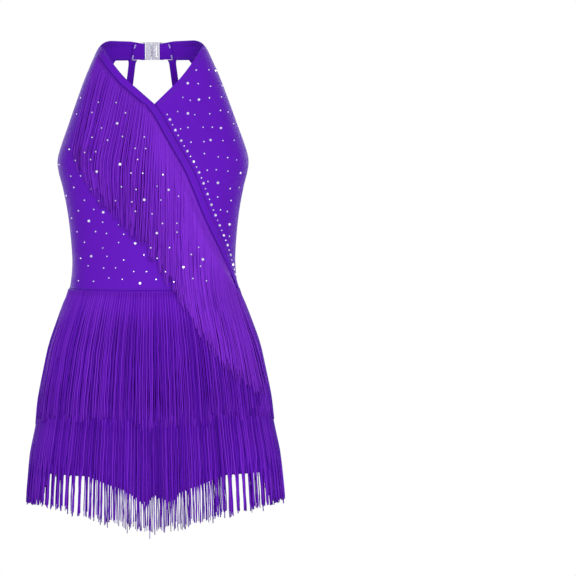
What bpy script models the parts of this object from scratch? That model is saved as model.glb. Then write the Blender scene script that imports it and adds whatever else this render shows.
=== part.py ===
"""Latin dance dress for a girl of about 130 cm, in its worn form and hollow.

A halter bodice with an open back, four back straps and a clasp at the nape. One diagonal
fringe hangs from the wrapped front edge. Two tiers of fringe hang over a pair of shorts.

Metres, +Z up, the front faces -Y and +X is the wearer's left. The origin is the centre of
the neck ring, at the middle of the collar's height. Sizes below are in millimetres.
"""

import math
from collections import namedtuple

import bmesh
import bpy
from mathutils import Matrix, Vector

MM = 0.001

# Driving sizes
WALL = 1.2  # a panel's cloth
SEAM = 0.3  # gap between two pieces that are sewn together
SLANTED_SEAM = 0.48  # the same gap at the slanting seam, measured level
COLLAR_TOP = 11.0
COLLAR_LOW = -11.3
WAIST = -284.0
WAIST_DIP = 22.5  # how much lower the waist seam runs at the centre of the back
SIDE_SEAM_TOP = -150.0
BACK_DIP = 50.7  # how much lower the open back runs at its centre than at the side seam
NECK_POINT = -62.4  # height of the lowest point of the neckline
BAND_WIDTH = 7.5  # the bound edge that runs over the slanting seam
BAND_TOP = -1.5
BAND_GAP = 0.8  # to the panel under it, whose faces run in longer straight steps
TAPE_HEIGHT = 2.6  # woven head of a fringe
TAPE_GAP = 0.9  # between the bound edge and the fringe's head beside it
TAPE_WALL = 1.2
TAPE_LIFT = WALL + SEAM
ROOT_CURVE = 25.0  # length over which a strand swings out from its tape
HEAD_DROP = 1.2  # of the skirt's upper tape under the waist seam
STRAND_WALL = 1.4
INNER_STRAP_WIDTH = 8.0
OUTER_STRAP_WIDTH = 6.5
COLLAR_BACK_RADIUS = 62.0  # of the collar at the nape
CORNER_COLUMNS = 4  # columns over which the collar's top edge comes down at the shoulder
COLLAR_CORNER = 6.0  # how much lower its top edge is at the shoulder
COLLAR_RISE = 2.0  # how much higher the rest of it runs beside the shoulder than at the nape
STRAP_FOOT_GAP = 0.5  # to the back panel, whose edge runs in short straight steps
SECTION_POWER = 0.85  # below 1 the chest and back are flatter than an ellipse
SIDE_ANGLE = 89.96  # in degrees: the panels stop this short of the side seam's plane
LEAST_ANGLE = 2.0  # the front panels' pointed ends, in degrees
LEG_GAP = WALL + 0.25
CROTCH_SHARE = 0.985  # how far down the shorts, from waist to hem, their legs part
LEG_START_SHARE = 0.6
PARTING_POWER = 5  # the legs part late, close to the crotch
LEG_DEPTH = 0.78  # share of the figure's depth that a leg opening takes

# The worn shape: half width, front and back depth, and where the side line runs
Section = namedtuple("Section", "z half_width front back side")
FIGURE = [
    Section(21.0, 51.5, -42.0, 46.3, 2.0),
    Section(11.0, 57.0, -45.0, 48.5, 2.0),
    Section(4.0, 63.2, -47.0, 50.0, 2.6),
    Section(-9.5, 69.8, -51.0, 53.0, 4.0),
    Section(-31.0, 79.2, -56.0, 62.0, 1.0),
    Section(-60.0, 90.0, -65.0, 74.0, -5.0),
    Section(-89.0, 100.2, -74.0, 81.0, -8.0),
    Section(-118.0, 110.4, -81.0, 83.5, -7.0),
    Section(-132.0, 113.2, -83.0, 84.0, -3.5),
    Section(-147.0, 111.2, -83.5, 83.5, 0.0),
    Section(-161.0, 107.6, -82.0, 82.0, 0.0),
    Section(-190.0, 102.0, -77.5, 78.0, 0.0),
    Section(-218.0, 98.6, -74.0, 74.0, 0.0),
    Section(-247.0, 96.6, -72.0, 70.0, 0.0),
    Section(-262.0, 97.0, -71.5, 68.5, 0.0),
    Section(-276.0, 98.6, -72.0, 68.0, 0.0),
    Section(-285.5, 100.4, -73.0, 69.0, 0.0),
    Section(-300.0, 104.0, -75.0, 72.0, 0.0),
    Section(-324.0, 111.0, -77.5, 79.0, 0.0),
    Section(-352.0, 118.0, -80.0, 88.0, 0.0),
    Section(-381.0, 123.0, -82.0, 96.0, 0.0),
    Section(-417.0, 127.8, -83.0, 101.0, 0.0),
    Section(-450.0, 131.0, -83.0, 101.0, 0.0),
    Section(-504.0, 135.0, -81.0, 95.0, 0.0),
    Section(-535.0, 137.0, -79.0, 90.0, 0.0),
    Section(-592.0, 139.0, -78.0, 88.0, 0.0),
]

# The open neck's two edges, as x at each height
Neckline = namedtuple("Neckline", "z right left")
NECKLINE = [
    Neckline(6.5, -60.5, 60.5),
    Neckline(-9.5, -50.0, 50.0),
    Neckline(-33.0, -31.0, 31.5),
    Neckline(-48.0, -14.5, 16.5),
    Neckline(NECK_POINT, 1.5, 1.5),
]

# The seam that slants from the neck point to the waist by the wearer's left side
Slant = namedtuple("Slant", "z angle")
SLANT = [
    Slant(NECK_POINT, 0.95),
    Slant(-76.8, 6.6),
    Slant(-105.8, 14.4),
    Slant(-126.5, 20.0),
    Slant(-161.6, 30.6),
    Slant(-188.5, 39.2),
    Slant(-212.9, 48.9),
    Slant(-236.4, 60.2),
    Slant(-256.8, 70.4),
    Slant(-272.0, 77.8),
    Slant(-290.0, 85.5),
]

# Heights of the rows of both front panels, so that they share the points of their seam
FRONT_ROWS = [
    6.5, -1.5, -9.5, -22.0, -35.0, -48.0, NECK_POINT, -76.8, -91.0, -105.8, -120.0, -134.0,
    -148.0, -163.7, -178.0, -191.0, -204.0, -217.0, -230.0, -243.0, -256.0, -270.0,
    WAIST + SEAM / 2,
]

# Where the bodice fringe's strands end, for roots at these heights on the slanting line
WrapStrand = namedtuple("WrapStrand", "root_z tip_x tip_z")
WRAP_STRANDS = [
    WrapStrand(-4.5, -99.0, -118.0),
    WrapStrand(-9.0, -91.0, -134.0),
    WrapStrand(-20.0, -80.0, -152.0),
    WrapStrand(-38.0, -63.0, -178.0),
    WrapStrand(-56.0, -36.0, -204.0),
    WrapStrand(-72.0, -14.0, -226.0),
    WrapStrand(-90.0, 4.0, -252.0),
    WrapStrand(-112.0, 22.0, -276.0),
    WrapStrand(-150.0, 47.0, -318.0),
    WrapStrand(-212.0, 84.0, -372.0),
    WrapStrand(-240.0, 108.0, -396.0),
    WrapStrand(-266.0, 136.0, -411.0),
]

# How far each fringe's inner face stands off the figure
Spread = namedtuple("Spread", "z upper wrap")
SPREAD = [
    Spread(-20.0, 1.5, 2.2),
    Spread(-60.0, 1.5, 2.5),
    Spread(-100.0, 1.5, 3.1),
    Spread(-147.0, 1.5, 3.4),
    Spread(-190.0, 1.5, 4.8),
    Spread(-218.0, 1.5, 5.8),
    Spread(-250.0, 1.5, 6.2),
    Spread(-274.0, 1.5, 6.0),
    Spread(-287.0, 1.5, 5.9),
    Spread(-300.0, 2.6, 6.2),
    Spread(-324.0, 4.0, 7.2),
    Spread(-352.0, 6.5, 9.4),
    Spread(-381.0, 8.0, 11.0),
    Spread(-417.0, 10.5, 13.5),
    Spread(-440.0, 11.8, 14.5),
    Spread(-482.0, 12.5, 15.5),
]
LOWER_SPREAD = 5.6  # the lower fringe's least distance from the figure, under the upper one
LOWER_UNDER = 2.6  # from the upper fringe's inner face to the lower one's
LOWER_FLARED = 14.6  # where it swings out to below the upper one's tips
LOWER_FLARE_DROP = 30.0
LOWER_HIDDEN_SHARE = 0.35  # of its hidden length, over which it comes clear of the shorts
FLARE_SLOPE = 0.03

# Ends of the skirt's two fringes, by the angle from the front centre to the back centre
Tier = namedtuple("Tier", "angle upper_tip lower_root lower_tip")
TIERS = [
    Tier(0.0, -443.0, -407.0, -568.5),
    Tier(15.0, -441.0, -396.0, -560.0),
    Tier(30.0, -438.0, -389.0, -552.0),
    Tier(50.0, -436.0, -382.0, -543.0),
    Tier(75.0, -436.0, -376.0, -538.0),
    Tier(90.0, -438.0, -374.0, -537.0),
    Tier(115.0, -446.5, -386.0, -547.0),
    Tier(135.0, -453.5, -398.0, -558.0),
    Tier(155.0, -461.0, -412.0, -572.0),
    Tier(180.0, -467.5, -423.0, -586.0),
]

# The shorts' hem, by the share of the way round the leg from its inside to the side seam
Hem = namedtuple("Hem", "share front back")
HEM = [
    Hem(0.0, -528.5, -528.5),
    Hem(0.1, -531.0, -533.5),
    Hem(0.22, -536.5, -538.0),
    Hem(0.34, -520.5, -532.0),
    Hem(0.45, -510.5, -525.0),
    Hem(0.55, -505.5, -516.0),
    Hem(0.7, -504.0, -508.5),
    Hem(0.85, -503.5, -505.5),
    Hem(1.0, -505.0, -505.0),
]
SHORTS_ROWS = [0.0, 0.08, 0.18, 0.3, 0.44, 0.58, 0.7, 0.8, 0.88, 0.93, 0.965, CROTCH_SHARE, 1.0]

# The back straps, as x at each height on the wearer's left
StrapLine = namedtuple("StrapLine", "z x")
INNER_STRAP = [
    StrapLine(-9.5, 23.5), StrapLine(-33.0, 26.5), StrapLine(-60.0, 30.0), StrapLine(-110.0, 37.5),
    StrapLine(-155.0, 44.5), StrapLine(-196.0, 50.3),
]
OUTER_STRAP = [
    StrapLine(-9.5, 47.5), StrapLine(-31.0, 57.0), StrapLine(-60.0, 67.5),
    StrapLine(-95.0, 78.5), StrapLine(-140.0, 88.5), StrapLine(-180.0, 92.0),
]

WRAP_STRAND_COUNT = 52
UPPER_STRAND_COUNT = 68
LOWER_STRAND_COUNT = 80
STRAND_FILL = 0.66  # share of a strand's place that it fills at the root
TIP_NARROWING = 0.75

# The clasp: two clear plastic halves, each with a bar that a collar end loops round. Across
# them x runs from the centre to the wearer's left, and depth from the bars' middle outwards.
CLASP_HEIGHT = 21.6
CLASP_WALL = 1.3
BAR_X = 11.5
BAR_WIDTH = 1.8
COLLAR_SLOT = (7.9, 10.6)  # x of the slot beside a bar
COLLAR_SLOT_HEIGHT = 20.2
LOOP_CATCH = (-1.0, 1.4)  # x of the loop half's strip that the hook holds
HOOK_WINDOW = (1.4, 5.6)
HOOK_WINDOW_HEIGHT = 15.0
HOOK_HEIGHT = 14.2
HOOK_PLATE_END = -1.5
HOOK_REACH = 4.4
HOOK_CLEAR = 0.3
RIB_X = (-5.6, -3.7, 2.6)
RIB_WIDTH = 0.8
RIB_HEIGHT = 0.45
RIB_SUNK = 0.2
HOOK_LIP_WALL = 1.0
HOOK_LIP_START = 0.8
NUDGE = 0.1  # keeps the faces of two joined blocks out of one plane
LOOP_RADIUS = 1.5  # of the cloth's inner face round a bar
LOOP_LENGTH = 12.5  # how far the collar's end is folded back inside
FOLD_DEPTH = 1.5  # from the collar's inner face to the folded end's
COLLAR_END_TRIM = 1.75  # the collar's edges come in by this much at the clasp

COLLECTION = "latin_dance_dress"


def clear_scene():
    for item in list(bpy.data.objects):
        bpy.data.objects.remove(item)


def new_collection(name):
    made = bpy.data.collections.new(name)
    bpy.context.scene.collection.children.link(made)
    return made


def material(name, colour, roughness, alpha=1.0):
    made = bpy.data.materials.new(name)
    made.use_nodes = True
    shader = made.node_tree.nodes["Principled BSDF"]
    shader.inputs["Base Color"].default_value = (*colour, 1.0)
    shader.inputs["Roughness"].default_value = roughness
    shader.inputs["Metallic"].default_value = 0.0
    shader.inputs["Alpha"].default_value = alpha
    return made


def ease(share):
    share = min(1.0, max(0.0, share))
    return share * share * (3 - 2 * share)


def slope_at(rows, name, i):
    """Slope of a column at row i, from the rows on both sides."""
    low, high = max(i - 1, 0), min(i + 1, len(rows) - 1)
    return (getattr(rows[high], name) - getattr(rows[low], name)) / (rows[high][0] - rows[low][0])


def read(rows, name, at):
    """Smooth value of a named column at a place on the table's first column, which runs one way."""
    first, last = rows[0][0], rows[-1][0]
    at = min(max(at, min(first, last)), max(first, last))
    for i in range(len(rows) - 1):
        start, end = rows[i][0], rows[i + 1][0]
        if min(start, end) <= at <= max(start, end):
            break
    step = end - start
    t = (at - start) / step
    a, b = getattr(rows[i], name), getattr(rows[i + 1], name)
    m, n = slope_at(rows, name, i) * step, slope_at(rows, name, i + 1) * step
    return (
        (2 * t**3 - 3 * t**2 + 1) * a
        + (t**3 - 2 * t**2 + t) * m
        + (3 * t**2 - 2 * t**3) * b
        + (t**3 - t**2) * n
    )


def figure_face(angle, z):
    """Point of the cloth's inner face: angle 0 is the front centre, 90 the wearer's left side."""
    turn = math.radians(angle)
    depth = read(FIGURE, "front" if math.cos(turn) >= 0 else "back", z)
    side = read(FIGURE, "side", z)
    return Vector((
        read(FIGURE, "half_width", z) * math.sin(turn),
        side + (depth - side) * abs(math.cos(turn)) ** SECTION_POWER,
        z,
    ))


def figure(angle, z, out=0.0):
    """The point of the inner face moved out along the cloth's normal."""
    point = figure_face(angle, z)
    if not out:
        return point
    step = 0.5
    along = figure_face(angle + step, z) - figure_face(angle - step, z)
    up = figure_face(angle, z + step) - figure_face(angle, z - step)
    return point + along.cross(up).normalized() * out


def angle_at(x, z):
    """Angle on the front of the figure for an x at a height."""
    return math.degrees(math.asin(min(1.0, max(-1.0, x / read(FIGURE, "half_width", z)))))


def waist(angle):
    """Height of the waist seam, which dips towards the centre of the back."""
    turn = math.radians(angle)
    return WAIST - (WAIST_DIP * math.cos(turn) ** 2 if math.cos(turn) < 0 else 0.0)


def edge_angle(z, name="right"):
    """Angle of a front panel's free edge: the neckline, then the slanting seam."""
    if z > NECK_POINT:
        return angle_at(read(NECKLINE, name, z), z)
    return read(SLANT, "angle", z)


def beside_edge(z, distance):
    """Angle of a line that runs beside the wrap's edge, this far below it on the cloth."""
    edge, step = edge_angle(z), 1.0
    degree = (figure_face(edge + step / 2, z) - figure_face(edge - step / 2, z)).length
    slope = degree * (edge_angle(z + step) - edge_angle(z - step)) / (2 * step)
    return edge - distance * math.sqrt(1 + slope**2) / degree


def sheet(name, columns, rows, place, finish, collection, wall=WALL):
    """Cloth with its wall outwards: a grid whose point at (across, down) is set by place.

    across and down each run from 0 to 1.
    """
    mesh = bpy.data.meshes.new(name)
    grid = bmesh.new()
    bmesh.ops.create_grid(grid, x_segments=columns, y_segments=rows, size=0.5)
    for vertex in grid.verts:
        vertex.co = place(vertex.co.x + 0.5, 0.5 - vertex.co.y) * MM
    grid.to_mesh(mesh)
    grid.free()
    mesh.shade_smooth()
    mesh.materials.append(finish)
    made = bpy.data.objects.new(name, mesh)
    thickness = made.modifiers.new("cloth", "SOLIDIFY")
    thickness.thickness = wall * MM
    thickness.offset = 1.0
    collection.objects.link(made)
    return made


def row_height(rows, down):
    """Height of a row from a list of heights, where down is an even share of the rows."""
    return rows[round(down * (len(rows) - 1))]


def front_right_panel(finish, collection):
    def place(across, down):
        z = row_height(FRONT_ROWS, down)
        end = max(edge_angle(z), LEAST_ANGLE - SIDE_ANGLE)
        return figure(-SIDE_ANGLE + across * (end + SIDE_ANGLE), z)

    sheet("front_right_panel", 15, len(FRONT_ROWS) - 1, place, finish, collection)


def front_left_panel(finish, collection):
    def place(across, down):
        z = row_height(FRONT_ROWS, down)
        start = edge_angle(z, "left") + math.degrees(SLANTED_SEAM / read(FIGURE, "half_width", z))
        start = min(start, SIDE_ANGLE - LEAST_ANGLE)
        return figure(start + across * (SIDE_ANGLE - start), z)

    sheet("front_left_panel", 8, len(FRONT_ROWS) - 1, place, finish, collection)


def back_panel(finish, collection):
    def place(across, down):
        angle = 180 + (across - 0.5) * 2 * SIDE_ANGLE
        top = SIDE_SEAM_TOP + BACK_DIP * math.cos(math.radians(angle))
        low = waist(angle) + SEAM / 2
        return figure(angle, top + (low - top) * down)

    sheet("back_panel", 20, 7, place, finish, collection)


def wrap_band(finish, collection):
    """The bound edge of the wrap, on the right panel from the collar to the waist."""
    rows = [z for z in FRONT_ROWS if z <= BAND_TOP]

    def place(across, down):
        z = row_height(rows, down)
        end = edge_angle(z)
        start = min(max(beside_edge(z, BAND_WIDTH), -SIDE_ANGLE), end - LEAST_ANGLE)
        return figure(start + across * (end - start), z, WALL + BAND_GAP)

    sheet("wrap_band", 2, len(rows) - 1, place, finish, collection)


def shorts_piece(side, half, finish, collection):
    """A quarter of the shorts. side is 1 on the wearer's left, half is front or back."""
    facing = -1 if half == "front" else 1

    def place(across, down):
        share = across if (side > 0) == (half == "front") else 1 - across
        down = row_height(SHORTS_ROWS, down)
        parting = (down - LEG_START_SHARE) / (CROTCH_SHARE - LEG_START_SHARE)
        parting = min(1.0, max(0.0, parting)) ** PARTING_POWER
        angle = 90 * share if half == "front" else 180 - 90 * share
        top = waist(angle) - SEAM / 2
        z = top + (read(HEM, half, share) - top) * down
        whole = figure_face(angle, z)
        half_width, depth = read(FIGURE, "half_width", z), read(FIGURE, half, z)
        leg = Vector((
            half_width * (1 - math.cos(math.pi * share)) / 2,
            LEG_DEPTH * depth * abs(math.sin(math.pi * share)) ** SECTION_POWER,
            z,
        ))
        point = whole.lerp(leg, parting)
        inner = (SEAM / 2 + LEG_GAP * math.sqrt(parting)) * (1 - share)
        point.x = (point.x + inner) * side
        point.y = facing * max(facing * point.y, SEAM / 2)
        return point

    name = f"shorts_{half}_{'left' if side > 0 else 'right'}"
    sheet(name, 8, len(SHORTS_ROWS) - 1, place, finish, collection)


def collar_half(side, finish, collection):
    """Half of the collar: from the shoulder round to the nape, where its end loops a clasp bar."""
    arc, loop, fold = 9, 5, 3  # columns of each stretch
    trimmed = arc - 2  # the column from which its edges come in
    columns = arc + loop + fold
    middle = (COLLAR_TOP + COLLAR_LOW) / 2

    def place(across, down):
        column = round((across if side > 0 else 1 - across) * columns)
        trim = 1 - 2 * COLLAR_END_TRIM / (COLLAR_TOP - COLLAR_LOW) * ease((column - trimmed) / 2)
        height = COLLAR_TOP + (COLLAR_LOW - COLLAR_TOP) * down
        height += COLLAR_RISE * (1 - down) * max(0.0, 1 - column / arc)
        height -= COLLAR_CORNER * (1 - down) * max(0.0, 1 - column / CORNER_COLUMNS) ** 2
        z = middle + (height - middle) * trim
        angle = end = 180 - angle_at(BAR_X, z)
        depth, along = 0.0, 0.0
        if column <= arc:
            angle = 180 - SIDE_ANGLE + (end + SIDE_ANGLE - 180) * column / arc
        elif column <= arc + loop:
            turn = math.pi * (column - arc) / loop
            along, depth = -LOOP_RADIUS * math.sin(turn), LOOP_RADIUS * (1 - math.cos(turn))
        else:
            rest = (column - arc - loop) / fold
            angle = end - math.degrees(LOOP_LENGTH * rest / COLLAR_BACK_RADIUS)
            depth = 2 * LOOP_RADIUS + (FOLD_DEPTH - 2 * LOOP_RADIUS) * ease(rest * fold)
        point = figure(angle, z, -depth) + Vector((along, 0, 0))
        return Vector((point.x * side, point.y, point.z))

    sheet(f"collar_{'left' if side > 0 else 'right'}", columns, 3, place, finish, collection)


def clasp_frame():
    """Where the clasp's middle sits at the nape, leaning with the collar."""
    low, high = (figure(180 - angle_at(BAR_X, z), z, -LOOP_RADIUS) for z in (COLLAR_LOW, COLLAR_TOP))
    lean = math.atan2(low.y - high.y, high.z - low.z)
    centre = Vector((0, (low.y + high.y) / 2, (COLLAR_TOP + COLLAR_LOW) / 2))
    return Matrix.Translation(centre * MM) @ Matrix.Rotation(lean, 4, "X")


def block(name, x, depth, height, collection):
    """A box from its ranges of x and depth, centred in height, in the clasp's own frame."""
    mesh = bmesh.new()
    bmesh.ops.create_cube(mesh, size=MM)
    bmesh.ops.scale(mesh, vec=(x[1] - x[0], depth[1] - depth[0], height), verts=mesh.verts)
    bmesh.ops.translate(mesh, vec=Vector((sum(x), sum(depth), 0)) * MM / 2, verts=mesh.verts)
    data = bpy.data.meshes.new(name)
    mesh.to_mesh(data)
    mesh.free()
    made = bpy.data.objects.new(name, data)
    collection.objects.link(made)
    return made


def use_with(target, other, operation):
    """Adds another block to a clasp half, or cuts it away."""
    step = target.modifiers.new(other.name, "BOOLEAN")
    step.operation = operation
    step.object = other
    other.parent = target
    other.hide_render = True
    other.display_type = "WIRE"


def clasp_half(name, side, blocks, finish, collection, cutters):
    """A clear half: a plate from its bar inwards with a slot for the collar, and more blocks."""
    half_wall = CLASP_WALL / 2
    plate_end, extra = blocks
    outer = BAR_X + BAR_WIDTH / 2
    across = (plate_end, outer) if side > 0 else (-outer, plate_end)
    half = block(name, across, (-half_wall, half_wall), CLASP_HEIGHT, collection)
    slot = COLLAR_SLOT if side > 0 else (-COLLAR_SLOT[1], -COLLAR_SLOT[0])
    through = (-CLASP_WALL, CLASP_WALL)
    use_with(half, block(name + "_slot", slot, through, COLLAR_SLOT_HEIGHT, cutters), "DIFFERENCE")
    for i, (operation, x, depth, height) in enumerate(extra):
        use_with(half, block(f"{name}_{i}", x, depth, height, cutters), operation)
    half.data.materials.append(finish)
    half.matrix_world = clasp_frame()


def clasp(finish, collection, cutters):
    """The loop half on the wearer's left and the hook half, which holds the loop's inner strip."""
    half_wall = CLASP_WALL / 2
    clasp_half(
        "clasp_loop", 1,
        (LOOP_CATCH[0], [("DIFFERENCE", HOOK_WINDOW, (-CLASP_WALL, CLASP_WALL), HOOK_WINDOW_HEIGHT)]),
        finish, collection, cutters,
    )
    over, top = half_wall + HOOK_CLEAR, half_wall + HOOK_CLEAR + CLASP_WALL
    under, tip = -half_wall - HOOK_CLEAR, LOOP_CATCH[1] + HOOK_CLEAR
    root = HOOK_PLATE_END - CLASP_WALL
    hook = [
        ("UNION", (root, HOOK_PLATE_END), (-half_wall, top), HOOK_HEIGHT),
        ("UNION", (root + NUDGE, HOOK_REACH), (over, top), HOOK_HEIGHT - NUDGE),
        ("UNION", (tip, HOOK_REACH), (under - HOOK_LIP_WALL, top - NUDGE), HOOK_HEIGHT - 2 * NUDGE),
        (
            "UNION", (LOOP_CATCH[0] + HOOK_LIP_START, HOOK_REACH - NUDGE),
            (under - HOOK_LIP_WALL - NUDGE, under), HOOK_HEIGHT - 3 * NUDGE,
        ),
    ]
    for x in RIB_X:
        face = half_wall if x < root else top
        across, depth = (x - RIB_WIDTH / 2, x + RIB_WIDTH / 2), (face - RIB_SUNK, face + RIB_HEIGHT)
        hook.append(("UNION", across, depth, HOOK_HEIGHT - 1))
    clasp_half("clasp_hook", -1, (HOOK_PLATE_END - 0.05, hook), finish, collection, cutters)


def strap(name, side, line, width, finish, collection):
    """A flat strap from the collar's lower edge down the back to the panel's top edge."""
    top = COLLAR_LOW - SEAM

    def place(across, down):
        beside = (0.5 - across) * width * side
        low = back_edge_at(line[-1].x + beside) + STRAP_FOOT_GAP
        z = top + (low - top) * down
        point = figure(180 - angle_at(read(line, "x", z) + beside, z), z)
        return Vector((point.x * side, point.y, z))

    sheet(name, 1, 11, place, finish, collection, wall=WALL)


def back_edge_at(x):
    """Height of the open back's edge at an x, found in a few steps from its middle height."""
    z = SIDE_SEAM_TOP - BACK_DIP / 2
    for _ in range(4):
        z = SIDE_SEAM_TOP - BACK_DIP * math.cos(math.radians(angle_at(x, z)))
    return z


def join_rings(mesh, ring, following):
    """Four faces between two rings of four points."""
    for i in range(4):
        mesh.faces.new((ring[i], following[i], following[i - 3], ring[i - 3]))


def fringe(name, count, closed, tape_place, strand_place, steps, finish, collection):
    """Strands that hang apart from a narrow woven tape, all one body.

    tape_place(along, low, outer) and strand_place(along, down, outer) give points, where
    along runs round the tape and low, down and outer run from 0 to 1.
    """
    mesh = bmesh.new()
    bounds = []
    for i in range(count):
        for edge in (-0.5, 0.5):
            bounds.append((i + 0.5 + edge * STRAND_FILL) / count)
    corners = ((0, 0), (0, 1), (1, 1), (1, 0))
    sections = [[mesh.verts.new(tape_place(u, low, outer) * MM) for low, outer in corners] for u in bounds]
    for i, section in enumerate(sections):
        following = sections[(i + 1) % len(sections)]
        if i + 1 == len(sections) and not closed:
            break
        is_root = i % 2 == 0
        for k in range(4):
            if is_root and k == 2:
                continue
            mesh.faces.new((section[k], following[k], following[k - 3], section[k - 3]))
        if is_root:
            middle, half = (bounds[i] + bounds[i + 1]) / 2, (bounds[i + 1] - bounds[i]) / 2
            ring = [section[3], section[2], following[2], following[3]]
            for step in range(1, steps + 1):
                down = step / steps
                reach = half * (1 - (1 - TIP_NARROWING) * down)
                spots = ((-reach, 0), (-reach, 1), (reach, 1), (reach, 0))
                lower = [mesh.verts.new(strand_place(middle + u, down, outer) * MM) for u, outer in spots]
                join_rings(mesh, lower, ring)
                ring = lower
            mesh.faces.new(ring)
    if not closed:
        mesh.faces.new(reversed(sections[0]))
        mesh.faces.new(sections[-1])
    bmesh.ops.recalc_face_normals(mesh, faces=mesh.faces)
    data = bpy.data.meshes.new(name)
    mesh.to_mesh(data)
    mesh.free()
    data.materials.append(finish)
    collection.objects.link(bpy.data.objects.new(name, data))


def around(along):
    """Angle round the skirt, from the back centre by the wearer's right to the front and on."""
    return -180 + 360 * along


def upper_fringe(finish, collection):
    def tape(along, low, outer):
        angle = around(along)
        z = waist(angle) - HEAD_DROP - TAPE_HEIGHT * low
        return figure(angle, z, TAPE_LIFT + TAPE_WALL * outer)

    def strand(along, down, outer):
        angle = around(along)
        root = waist(angle) - HEAD_DROP - TAPE_HEIGHT
        z = root + (read(TIERS, "upper_tip", abs(angle)) - root) * down
        out = TAPE_LIFT + (read(SPREAD, "upper", z) - TAPE_LIFT) * ease((root - z) / ROOT_CURVE)
        return figure(angle, z, out + STRAND_WALL * outer)

    fringe("skirt_fringe_upper", UPPER_STRAND_COUNT, True, tape, strand, 4, finish, collection)


def lower_fringe(finish, collection):
    def tape(along, low, outer):
        angle = around(along)
        z = read(TIERS, "lower_root", abs(angle)) + TAPE_HEIGHT * (1 - low)
        return figure(angle, z, TAPE_LIFT + TAPE_WALL * outer)

    def strand(along, down, outer):
        angle = around(along)
        root = read(TIERS, "lower_root", abs(angle))
        cover = read(TIERS, "upper_tip", abs(angle))
        tip = read(TIERS, "lower_tip", abs(angle))
        flared = cover - LOWER_FLARE_DROP
        rows = (root, root + (cover - root) * LOWER_HIDDEN_SHARE, cover, flared, tip)
        z = row_height(rows, down)
        if z >= cover:
            out = max(LOWER_SPREAD, read(SPREAD, "upper", z) - LOWER_UNDER)
        else:
            out = LOWER_FLARED + FLARE_SLOPE * (flared - z)
        return figure(angle, z, out + STRAND_WALL * outer)

    fringe("skirt_fringe_lower", LOWER_STRAND_COUNT, True, tape, strand, 4, finish, collection)


def wrap_strand_at(along):
    """Root height and tip of the strand at a share of the fringe's length, with even tips."""
    place = along * (len(WRAP_STRANDS) - 1)
    i = min(int(place), len(WRAP_STRANDS) - 2)
    first, second, t = WRAP_STRANDS[i], WRAP_STRANDS[i + 1], place - i
    return WrapStrand(*(a + (b - a) * t for a, b in zip(first, second)))


def bodice_fringe(finish, collection):
    head = BAND_WIDTH + TAPE_GAP

    def tape(along, low, outer):
        z = wrap_strand_at(along).root_z
        return figure(beside_edge(z, head + TAPE_HEIGHT * low), z, TAPE_LIFT + TAPE_WALL * outer)

    def strand(along, down, outer):
        line = wrap_strand_at(along)
        start = beside_edge(line.root_z, head + TAPE_HEIGHT)
        z = line.root_z + (line.tip_z - line.root_z) * down
        reach = read(FIGURE, "half_width", line.tip_z) + read(SPREAD, "wrap", line.tip_z)
        end = math.degrees(math.asin(min(0.99, line.tip_x / reach)))
        angle = start + (end - start) * down
        out = TAPE_LIFT + (read(SPREAD, "wrap", z) - TAPE_LIFT) * ease((line.root_z - z) / ROOT_CURVE)
        return figure(angle, z, out + STRAND_WALL * outer)

    fringe("bodice_fringe", WRAP_STRAND_COUNT, False, tape, strand, 7, finish, collection)


def main():
    clear_scene()
    collection, cutters = new_collection(COLLECTION), new_collection("cutters")
    knit = material("purple_knit", (0.13, 0.01, 0.55), 0.55)
    rayon = material("purple_rayon", (0.12, 0.01, 0.5), 0.4)
    clear = material("clear_plastic", (0.86, 0.87, 0.92), 0.12, alpha=0.45)
    front_right_panel(knit, collection)
    front_left_panel(knit, collection)
    back_panel(knit, collection)
    wrap_band(knit, collection)
    for side in (1, -1):
        word = "left" if side > 0 else "right"
        for half in ("front", "back"):
            shorts_piece(side, half, knit, collection)
        collar_half(side, knit, collection)
        strap(f"strap_inner_{word}", side, INNER_STRAP, INNER_STRAP_WIDTH, knit, collection)
        strap(f"strap_outer_{word}", side, OUTER_STRAP, OUTER_STRAP_WIDTH, knit, collection)
    clasp(clear, collection, cutters)
    upper_fringe(rayon, collection)
    lower_fringe(rayon, collection)
    bodice_fringe(rayon, collection)


main()
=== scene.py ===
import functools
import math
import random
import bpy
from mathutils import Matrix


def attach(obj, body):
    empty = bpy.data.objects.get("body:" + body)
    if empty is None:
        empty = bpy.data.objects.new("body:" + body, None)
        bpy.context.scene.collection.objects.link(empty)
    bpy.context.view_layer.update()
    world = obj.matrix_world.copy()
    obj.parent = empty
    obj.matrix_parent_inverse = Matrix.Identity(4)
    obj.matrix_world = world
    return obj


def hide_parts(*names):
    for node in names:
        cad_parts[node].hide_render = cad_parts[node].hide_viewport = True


bl_info = {
    "name": "Latin Dance Dress",
    "version": (1, 0, 0),
    "blender": (4, 5, 0),
    "location": "View3D > Sidebar > Dance Dress",
    "description": "Dresses the frame of a fringed dance dress: knit, fringe, stones, sewing, clasp",
    "category": "Object",
}

from collections import namedtuple

import bmesh
import bpy
from bpy.props import FloatProperty, FloatVectorProperty, IntProperty, PointerProperty
from mathutils import Matrix, Vector, noise

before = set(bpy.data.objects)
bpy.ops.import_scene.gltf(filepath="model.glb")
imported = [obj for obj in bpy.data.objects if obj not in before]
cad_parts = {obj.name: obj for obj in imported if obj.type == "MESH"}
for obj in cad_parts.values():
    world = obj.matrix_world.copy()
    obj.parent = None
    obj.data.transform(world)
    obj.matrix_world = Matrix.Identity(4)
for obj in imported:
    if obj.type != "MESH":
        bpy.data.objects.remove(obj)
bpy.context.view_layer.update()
MM = 0.001
BODY = "root"

# ---------------------------------------------------------------------------------------------
# The garment's form, in millimetres. The front faces -Y, +X is the wearer's left, and the
# origin is the centre of the neck ring. It is the same form that the frame's solids have.
# ---------------------------------------------------------------------------------------------

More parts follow.
